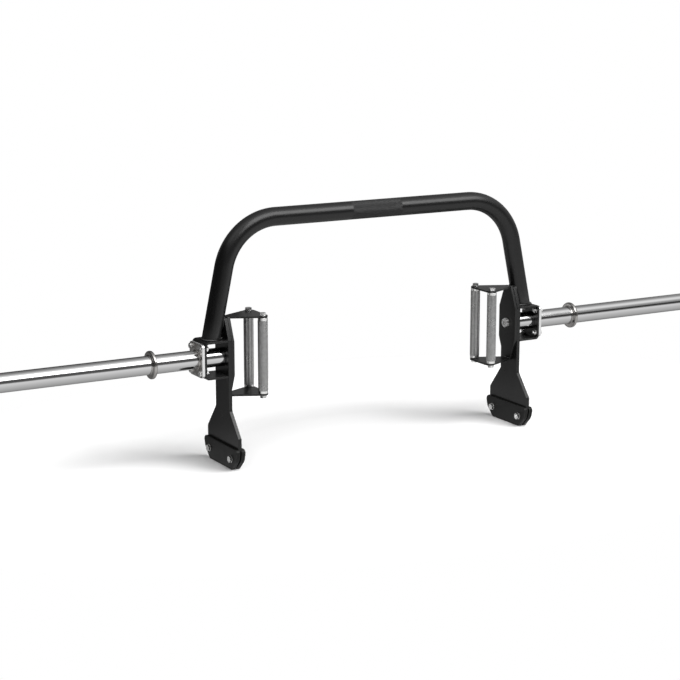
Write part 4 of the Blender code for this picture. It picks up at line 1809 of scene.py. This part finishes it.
    def build(self) -> list[bpy.types.Object]:
        """Sets down both mounts with their sleeves and fasteners.

        Returns:
            The new pieces.
        """
        book = self.finishes
        parts = {
            "box_bracket": (self.box_mesh(), book.coat),
            "sleeve_flange": (self.flange_mesh(), book.flange_chrome),
            "loading_sleeve": (self.sleeve_mesh(), book.chrome),
            "stop_ring": (self.ring_mesh(), book.ring_chrome),
        }
        welds, ring_weld = self.bracket_welds(), self.ring_weld()
        seat, nut_seat = self.flange_face + SEAT_GAP, self.box_face - self.box_wall - SEAT_GAP
        length = seat - nut_seat + self.nut + BOLT_SPARE
        fasteners = FastenerSet("flange", self.bolt, length, book.zinc, self.nut)
        pieces = []
        for side in Side:
            for kind, (mesh, finish) in parts.items():
                pieces.append(set_down(f"{kind}_{side.label}", mesh, finish, side.place))
            box, flange = f"box_bracket_{side.label}", f"sleeve_flange_{side.label}"
            pieces += [self.add_weld(name, box, side, weld) for name, weld in welds.items()]
            pieces.append(self.add_weld("flange_weld", flange, side, ring_weld, book.flange_chrome))
            for end, y in side.ends(self.bolt_y).items():
                for height, z in (("top", self.bolt_z), ("bottom", -self.bolt_z)):
                    tail = f"{end}_{height}_{side.label}"
                    bolt, nut = (f"flange_{kind}_{tail}" for kind in ("bolt", "nut"))
                    pieces += fasteners.add(bolt, side, (seat, y, z), Facing.OUTBOARD)
                    pieces += fasteners.add(nut, side, (nut_seat, y, z), Facing.INBOARD, nut=True)
        return pieces


@dataclass(frozen=True)
class HandleCages(SubAssembly):
    """The two handle cages: back plate, yokes, knurled grips and their bolts.

    The edge of a grip's end is a run of (distance in from the end, distance down from the rim).
    """

    back: float = 0.008
    back_straight: float = 0.090
    back_end: float = 0.030
    back_corner: float = 0.003
    back_rim: float = 0.9 * MM
    yoke: float = 0.005
    yoke_corner: float = 0.016
    yoke_tip: float = 0.002
    yoke_rim: float = 0.7 * MM
    yoke_hole: float = 0.0055
    yoke_weld: WeldBead = WeldBead(2.0 * MM)
    yoke_weld_rise: float = 0.3 * MM
    yoke_weld_inset: float = MM
    grip_length: float = 0.204
    grip_standoff: float = 0.0905
    grip_spacing: float = 0.083
    grip_rim_length: float = 0.0068
    grip_step: float = 0.15 * MM
    grip_rim_radius: float = 0.0129
    grip_edge: tuple[Pair, ...] = (
        (0.0, 1.0 * MM), (0.1 * MM, 0.5 * MM), (0.4 * MM, 0.1 * MM), (0.7 * MM, 0.0), (1.0 * MM, 0.0),
    )
    grip_tap: float = 0.0053
    grip_tap_depth: float = 0.021
    grip_tap_chamfer: float = 0.6 * MM
    grip_knurl: Knurl = Knurl(0.0135, 0.32 * MM, 50, 1.9 * MM)
    grip_hold: float = 0.018
    grip_bolt: HexFastener = HexFastener(0.0050, 0.0160, 0.0074, 9.6 * MM)
    pivot_bolt: HexFastener = HexFastener(
        0.0080, 0.0240, 0.0100, 15.0 * MM, pitch=2.0 * MM, threaded=20.0 * MM,
    )
    pivot_spin: float = math.radians(30.0)

    @property
    def yoke_seat(self) -> float:
        """Height of a yoke's inner face above the cage's middle."""
        return self.grip_length / 2 + SEAT_GAP

    @property
    def back_face(self) -> float:
        """X of the back plate's inner face."""
        return -SEAT_GAP - self.back

    def back_mesh(self) -> bpy.types.Mesh:
        """The back plate, a long hexagon with a pivot hole.

        Returns:
            The back plate's mesh.
        """
        end, straight = self.yoke_seat + self.yoke, self.back_straight / 2
        tip, half = self.back_end / 2, self.leg.neck_width / 2
        corners = [(tip, -end), (half, -straight), (half, straight), (tip, end)]
        outline = rounded(mirrored([(u, v, self.back_corner) for u, v in corners]))
        holes = [circle(self.leg.pivot_hole)]
        return plate_mesh(
            "handle_back_plate_shape", outline, holes, self.back_face, -SEAT_GAP, rim=self.back_rim,
        )

    def yoke_mesh(self) -> bpy.types.Mesh:
        """One yoke, a triangle with round corners and two bolt holes, from its seat up.

        Returns:
            The yoke's mesh.
        """
        apex = self.back_face - SEAT_GAP
        base = -self.grip_standoff - self.yoke_corner
        half_base = self.grip_spacing / 2 + self.yoke_corner
        lean = (half_base - self.back_end / 2) / (apex - base)
        reach = half_base + lean * self.yoke_corner / 2
        corners = [
            (apex, -self.back_end / 2, self.yoke_tip),
            (apex, self.back_end / 2, self.yoke_tip),
            (base, reach, self.yoke_corner),
            (base, -reach, self.yoke_corner),
        ]
        outline, half = rounded(corners), self.grip_spacing / 2
        holes = [circle(self.yoke_hole, -self.grip_standoff, y) for y in (-half, half)]
        return plate_mesh("handle_yoke_shape", outline, holes, 0.0, self.yoke, level, self.yoke_rim)

    def grip_mesh(self) -> bpy.types.Mesh:
        """One grip about Z: knurled, with plain rims and a tapped hole in each end.

        Returns:
            The grip's mesh.
        """
        half, rim = self.grip_length / 2, self.grip_rim_radius
        knurl_end = half - self.grip_rim_length - self.grip_step
        upper = [
            (half - self.grip_tap_depth, self.grip_tap),
            (half - self.grip_tap_chamfer, self.grip_tap),
            (half, self.grip_tap + self.grip_tap_chamfer),
            *((half - inward, rim - down) for inward, down in self.grip_edge),
            (half - self.grip_rim_length, rim),
        ]
        lower = [(-along, radius) for along, radius in reversed(upper)]
        mesh = self.grip_knurl.mesh("grip_shape", knurl_end, -knurl_end, upper, lower)
        knurled, plain = self.finishes.steel, self.finishes.plain_steel
        return two_finishes(mesh, knurled, plain, lambda face: abs(face.center.z) > knurl_end)

    def yoke_welds(self) -> dict[str, bpy.types.Mesh]:
        """The beads between the yokes' inner faces and the back plate.

        Returns:
            Their meshes by the end that they are at.
        """
        x, height = self.back_face - self.yoke_weld_rise, self.yoke_seat - self.yoke_weld_rise
        reach = self.back_end / 2 - self.yoke_weld_inset
        welds = {}
        for end, z in (("top", height), ("bottom", -height)):
            path = [Vector((x, y, z)) for y in (-reach, reach)]
            welds[end] = self.yoke_weld.mesh(f"yoke_weld_{end}_shape", path, UPWARD)
        return welds

    def build(self) -> list[bpy.types.Object]:
        """Sets down both cages and their pivot bolts.

        Returns:
            The new pieces.
        """
        book = self.finishes
        back, yoke, grip = self.back_mesh(), self.yoke_mesh(), self.grip_mesh()
        welds = self.yoke_welds()
        reach = self.yoke + 2 * SEAT_GAP + self.grip_hold
        bolts = FastenerSet("grip", self.grip_bolt, reach, book.zinc)
        pivot_seat = self.back_face - SEAT_GAP
        reach = self.leg.thickness + SEAT_GAP + BOSS_LENGTH - BOLT_SPARE - pivot_seat
        pivots = FastenerSet("pivot", self.pivot_bolt, reach, book.pivot_zinc, washers=False)
        pivot_turn = Matrix.Rotation(self.pivot_spin, 4, "Z")
        head_seat = self.yoke_seat + self.yoke + SEAT_GAP
        heads = {"top": (Facing.UP, head_seat), "bottom": (Facing.DOWN, -head_seat)}
        pieces = []
        for side in Side:
            pieces.append(set_down(f"handle_back_plate_{side.label}", back, book.coat, side.place))
            for end, z in (("top", self.yoke_seat), ("bottom", -self.yoke_seat - self.yoke)):
                node = f"handle_yoke_{end}_{side.label}"
                lift = side.place @ Matrix.Translation((0.0, 0.0, z))
                pieces.append(set_down(node, yoke, book.coat, lift))
                pieces.append(self.add_weld(f"yoke_weld_{end}", node, side, welds[end]))
            for end, y in side.ends(self.grip_spacing / 2).items():
                stand = side.place @ Matrix.Translation((-self.grip_standoff, y, 0.0))
                pieces.append(set_down(f"grip_{end}_{side.label}", grip, book.steel, stand))
                for height, (facing, z) in heads.items():
                    node = f"grip_bolt_{end}_{height}_{side.label}"
                    pieces += bolts.add(node, side, (-self.grip_standoff, y, z), facing)
            pivot, seat = f"pivot_bolt_{side.label}", (pivot_seat, 0.0, 0.0)
            pieces += pivots.add(pivot, side, seat, Facing.INBOARD, spin=pivot_turn)
        return pieces


# Studio


def stage_piece(name: str, mesh: bpy.types.Mesh, hidden_from: Sequence[str] = ()) -> bpy.types.Object:
    """Adds a piece of the stage.

    Args:
        name: Its name.
        mesh: Its shape.
        hidden_from: The kinds of ray that don't see it.

    Returns:
        The new object.
    """
    obj = linked(name, mesh)
    for kind in hidden_from:
        setattr(obj, f"visible_{kind}", False)
    return obj


def upright(reach: float, *marks: Pair) -> tuple[Triple, ...]:
    """The section of an upright card at one reach, from the (z, level) of its marks."""
    return tuple((reach, z, shown) for z, shown in marks)


def lying(*marks: Pair) -> tuple[Triple, ...]:
    """The section of a card on the floor, from the (y, level) of its marks."""
    return tuple((y, CARD_LIFT, shown) for y, shown in marks)


def overhead(
    *marks: Pair, reach: float = 4.6, height: float = 0.3, step_angle: float = 4.0
) -> tuple[Triple, ...]:
    """The section of a card that arches over the bar.

    Args:
        *marks: The (angle, level) of its marks, in degrees from the front horizon over the top.
        reach: The card's radius.
        height: The height of its middle.
        step_angle: About how far apart its points are, in degrees.

    Returns:
        The (y, z, level) points.
    """
    section = []
    for (first, low), (second, high) in zip(marks, marks[1:]):
        steps = max(1, round((second - first) / step_angle))
        for step in range(steps + (second == marks[-1][0])):
            angle = math.radians(first + (second - first) * step / steps)
            shown = low + (high - low) * step / steps
            section.append((-reach * math.cos(angle), height + reach * math.sin(angle), shown))
    return tuple(section)


@dataclass(frozen=True)
class ReflectionCard:
    """A bent card near the bar that only its reflections show.

    Its section is a run of (y, z, level) points where it runs along X, or of (x, z, level) points
    where it runs along Y, and the level is what is seen there.
    """

    name: str
    start: float
    end: float
    section: tuple[Triple, ...]
    along_x: bool = True

    def build(self, material: bpy.types.Material) -> bpy.types.Object:
        """Adds the card.

        Args:
            material: The material that shows its levels.

        Returns:
            The new object.
        """
        bm = bmesh.new()
        layer = bm.verts.layers.float.new(CARD_MARK)
        strips = []
        for reach, z, shown in self.section:
            strips.append([])
            for along in (self.start, self.end):
                vert = bm.verts.new((along, reach, z) if self.along_x else (reach, along, z))
                vert[layer] = shown
                strips[-1].append(vert)
        for (a, b), (d, c) in zip(strips, strips[1:]):
            bm.faces.new((a, b, c, d))
        mesh = mesh_of(self.name, bm)
        mesh.materials.append(material)
        hidden_from = ("camera", "diffuse", "transmission", "shadow", "volume_scatter")
        return stage_piece(self.name, mesh, hidden_from)


@dataclass(frozen=True)
class SoftBox:
    """A rectangular lamp aimed at a point, with the radiance of its face."""

    name: str
    place: Triple
    size: Pair
    radiance: float
    aim: Triple
    reflected: bool = True

    def build(self) -> bpy.types.Object:
        """Adds the lamp.

        Returns:
            The new object.
        """
        data = bpy.data.lights.new(self.name, "AREA")
        data.shape = "RECTANGLE"
        data.size, data.size_y = self.size
        data.energy = self.radiance * math.pi * self.size[0] * self.size[1]
        away = Vector(self.place) - Vector(self.aim)
        turn = away.to_track_quat("Z", "Y").to_matrix().to_4x4()
        lamp = linked(self.name, data, Matrix.Translation(self.place) @ turn)
        lamp.visible_camera = False
        lamp.visible_glossy = self.reflected
        return lamp


@dataclass(frozen=True)
class Studio:
    """Camera, world, floor, lamps and reflection cards."""

    lens: float = 97.34
    sensor_width: float = 36.0
    view_depth: float = 200.0
    camera_place: Triple = (-2.5279, -4.2546, 1.3449)
    camera_turn: Triple = (90.0 - 12.063, 0.0, -29.653)
    ambient: float = 0.20
    floor_colour: Triple = (0.82, 0.82, 0.82)
    floor_radius: float = 9.0
    floor_drop: float = 0.2 * MM
    near_lift: float = 0.06
    floor_lift: float = 0.46
    clear_span: Triple = (1.20, 0.78, 1.0)
    lift_from: float = 0.40
    lift_to: float = 0.78
    clear_from: float = 0.90
    clear_to: float = 1.25
    lamps: tuple[SoftBox, ...] = (
        SoftBox("overhead_soft_box", (0.6, -1.17, 1.79), (2.44, 1.09), 4.8, (0.6, 0.0, 0.29)),
        SoftBox("side_soft_box", (2.4, -2.10, 3.2), (2.8, 2.8), 6.6, (-0.3, 0.0, 0.1), reflected=False),
        SoftBox("fill_soft_box", (-2.4, -1.9, 2.4), (1.8, 1.8), 2.8, (0.0, 0.0, 0.2), reflected=False),
    )
    cards: tuple[ReflectionCard, ...] = (
        ReflectionCard("front_flag", -9.0, 1.95, upright(
            -2.2, (0.12, 0.55), (0.45, 0.18), (0.70, 0.11), (1.05, 0.12), (1.5, 0.17), (1.9, 0.7),
        )),
        ReflectionCard("front_end_flag", 1.95, 9.0, upright(
            -2.2, (0.12, 0.55), (0.45, 0.20), (0.68, 0.10), (0.80, 0.02), (1.10, 0.02), (1.20, 0.17),
            (1.5, 0.20), (1.9, 0.7),
        )),
        ReflectionCard("ceiling", -9.0, 3.2, overhead(
            (64.0, 1.9), (80.0, 1.35), (96.0, 0.72), (114.0, 0.40), (136.0, 0.25), (150.0, 0.21),
        )),
        ReflectionCard("ceiling_end", 3.2, 6.8, overhead(
            (25.0, 0.20), (36.0, 0.28), (51.0, 0.75), (65.0, 1.18), (80.0, 1.15), (96.0, 0.75),
            (114.0, 0.42), (150.0, 0.21),
        )),
        ReflectionCard("ceiling_corner", 6.8, 12.0, overhead(
            (25.0, 0.20), (33.0, 0.10), (42.0, 0.14), (51.0, 0.62), (65.0, 1.18), (80.0, 1.15),
            (96.0, 0.75), (114.0, 0.42), (150.0, 0.21),
        )),
        # The floor cards carry a painted shadow of the bar and its feet for the reflections: their levels
        # fall from white in front to dark under and behind the bar.
        ReflectionCard("left_floor_card", -9.0, -0.42, lying(
            (-1.3, 1.03), (-0.61, 0.97), (-0.36, 0.86), (-0.21, 0.76), (-0.10, 0.67), (0.0, 0.56),
            (0.11, 0.46), (0.37, 0.15),
        )),
        ReflectionCard("middle_floor_card", -0.42, 0.50, lying(
            (-1.3, 1.06), (-0.45, 0.95), (-0.10, 0.74), (0.0, 0.64), (0.20, 0.50), (1.9, 0.45),
        )),
        ReflectionCard("right_floor_card", 0.50, 9.0, lying(
            (-1.3, 1.03), (-0.61, 0.95), (-0.36, 0.83), (-0.21, 0.74), (-0.10, 0.66), (0.0, 0.54),
            (0.11, 0.38), (0.40, 0.14), (1.95, 0.10),
        )),
        ReflectionCard("back_left_flag", -3.2, -0.64, upright(
            0.38, (0.0, 0.22), (0.22, 0.22), (0.34, 0.06), (0.60, 0.08),
        )),
        *(
            ReflectionCard(f"back_{name}_flag", start, end, upright(
                0.38, (0.0, 0.13), (0.22, 0.13), (0.34, 0.06), (0.60, 0.08),
            ))
            for name, start, end in (("cage", -0.64, -0.32), ("right", 0.08, 0.22))
        ),
        ReflectionCard("back_box_flag", -0.32, -0.215, upright(0.38, (0.40, 0.06), (0.60, 0.08))),
        ReflectionCard("far_flag", -9.0, 9.0, upright(
            2.0, (0.0, 0.18), (0.50, 0.24), (0.65, 0.29), (1.0, 0.29), (1.2, 0.20), (1.8, 0.20),
        )),
        ReflectionCard("left_flag", -3.0, 2.0, upright(-2.0, (0.0, 0.05), (1.9, 0.06)), along_x=False),
        ReflectionCard("side_card", -2.4, 2.4, upright(3.6, (0.0, 0.30), (2.6, 0.60)), along_x=False),
    )

    def add_camera(self) -> None:
        """Stands the camera where the photograph was taken from."""
        data = bpy.data.cameras.new("studio_camera")
        data.lens = self.lens
        data.sensor_width = self.sensor_width
        data.clip_end = self.view_depth
        camera = linked("studio_camera", data)
        camera.location = self.camera_place
        camera.rotation_euler = [math.radians(angle) for angle in self.camera_turn]
        bpy.context.scene.camera = camera

    @staticmethod
    def seen(wiring: Wiring) -> bpy.types.NodeSocket:
        """Tells the rays that show the background, which are camera, glossy and transmission.

        Args:
            wiring: The material's or the world's wiring.

        Returns:
            1 for those rays and 0 for the rest.
        """
        path = wiring.node("LightPath").outputs
        shown = wiring.maths("MAXIMUM", path["Is Camera Ray"], path["Is Glossy Ray"])
        return wiring.maths("MAXIMUM", shown, path["Is Transmission Ray"])

    def add_world(self) -> None:
        """A white surround where it is seen, and an even fill where it only lights."""
        world = bpy.data.worlds.new("white_surround")
        wiring = Wiring.cleared(world)
        fill, white = (
            wiring.node("Background", {"Color": (1.0, 1.0, 1.0, 1.0), "Strength": strength}).outputs[0]
            for strength in (self.ambient, 1.0)
        )
        both = wiring.node("MixShader", {0: self.seen(wiring), 1: fill, 2: white}).outputs[0]
        wiring.node("OutputWorld", {"Surface": both})
        bpy.context.scene.world = world

    def floor_material(self) -> bpy.types.Material:
        """The floor's finish, which lifts to white away from the bar and then clears.

        Returns:
            The material.
        """
        material = bpy.data.materials.new("pale_floor")
        wiring = Wiring.cleared(material)
        matte = wiring.node("BsdfDiffuse", {"Color": (*self.floor_colour, 1.0)}).outputs[0]
        span = {0: wiring.node("TexCoord").outputs["Object"], 1: self.clear_span}
        scaled = wiring.node("VectorMath", span, operation="DIVIDE").outputs[0]
        reach = wiring.node("VectorMath", {0: scaled}, operation="LENGTH").outputs["Value"]
        rise = wiring.ranged(reach, self.near_lift, self.floor_lift, self.lift_from, self.lift_to)
        lift = wiring.maths("MULTIPLY", self.seen(wiring), rise)
        glow = wiring.node("Emission", {"Strength": lift}).outputs[0]
        lit = wiring.node("AddShader", {0: matte, 1: glow}).outputs[0]
        clear = wiring.ranged(reach, 0.0, 1.0, self.clear_from, self.clear_to)
        open_air = wiring.node("BsdfTransparent").outputs[0]
        faded = wiring.node("MixShader", {0: clear, 1: lit, 2: open_air}).outputs[0]
        wiring.node("OutputMaterial", {"Surface": faded})
        return material

    def add_floor(self) -> None:
        """A pale matte floor that keeps the shadows and clears into the surround."""
        bm = bmesh.new()
        bmesh.ops.create_circle(bm, cap_ends=True, radius=self.floor_radius, segments=ROUND_SIDES)
        mesh = mesh_of("floor", bm)
        mesh.materials.append(self.floor_material())
        stage_piece("floor", mesh).location.z = -self.floor_drop

    def add_cards(self) -> None:
        """Cards that draw the dark and pale bands in the chrome."""
        material = bpy.data.materials.new("reflection_card")
        material.cycles.emission_sampling = "NONE"
        wiring = Wiring.cleared(material)
        shown = wiring.node("Attribute", attribute_name=CARD_MARK).outputs["Fac"]
        glow = wiring.node("Emission", {"Strength": shown}).outputs[0]
        wiring.node("OutputMaterial", {"Surface": glow})
        for card in self.cards:
            card.build(material)

    def build(self) -> None:
        """Sets up the whole studio."""
        bpy.context.scene.view_settings.view_transform = "Standard"
        self.add_camera()
        self.add_world()
        self.add_floor()
        for lamp in self.lamps:
            lamp.build()
        self.add_cards()


def main() -> None:
    """Builds the studio and each sub-assembly in order."""
    logging.basicConfig(level=logging.INFO, format="%(message)s", stream=sys.stdout)
    Studio().build()
    finishes = FinishBook()
    for assembly in (ArchTube, LegPlates, FootPads, SleeveMount, HandleCages):
        for piece in assembly(finishes).build():
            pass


if __name__ == "__main__":
    main()
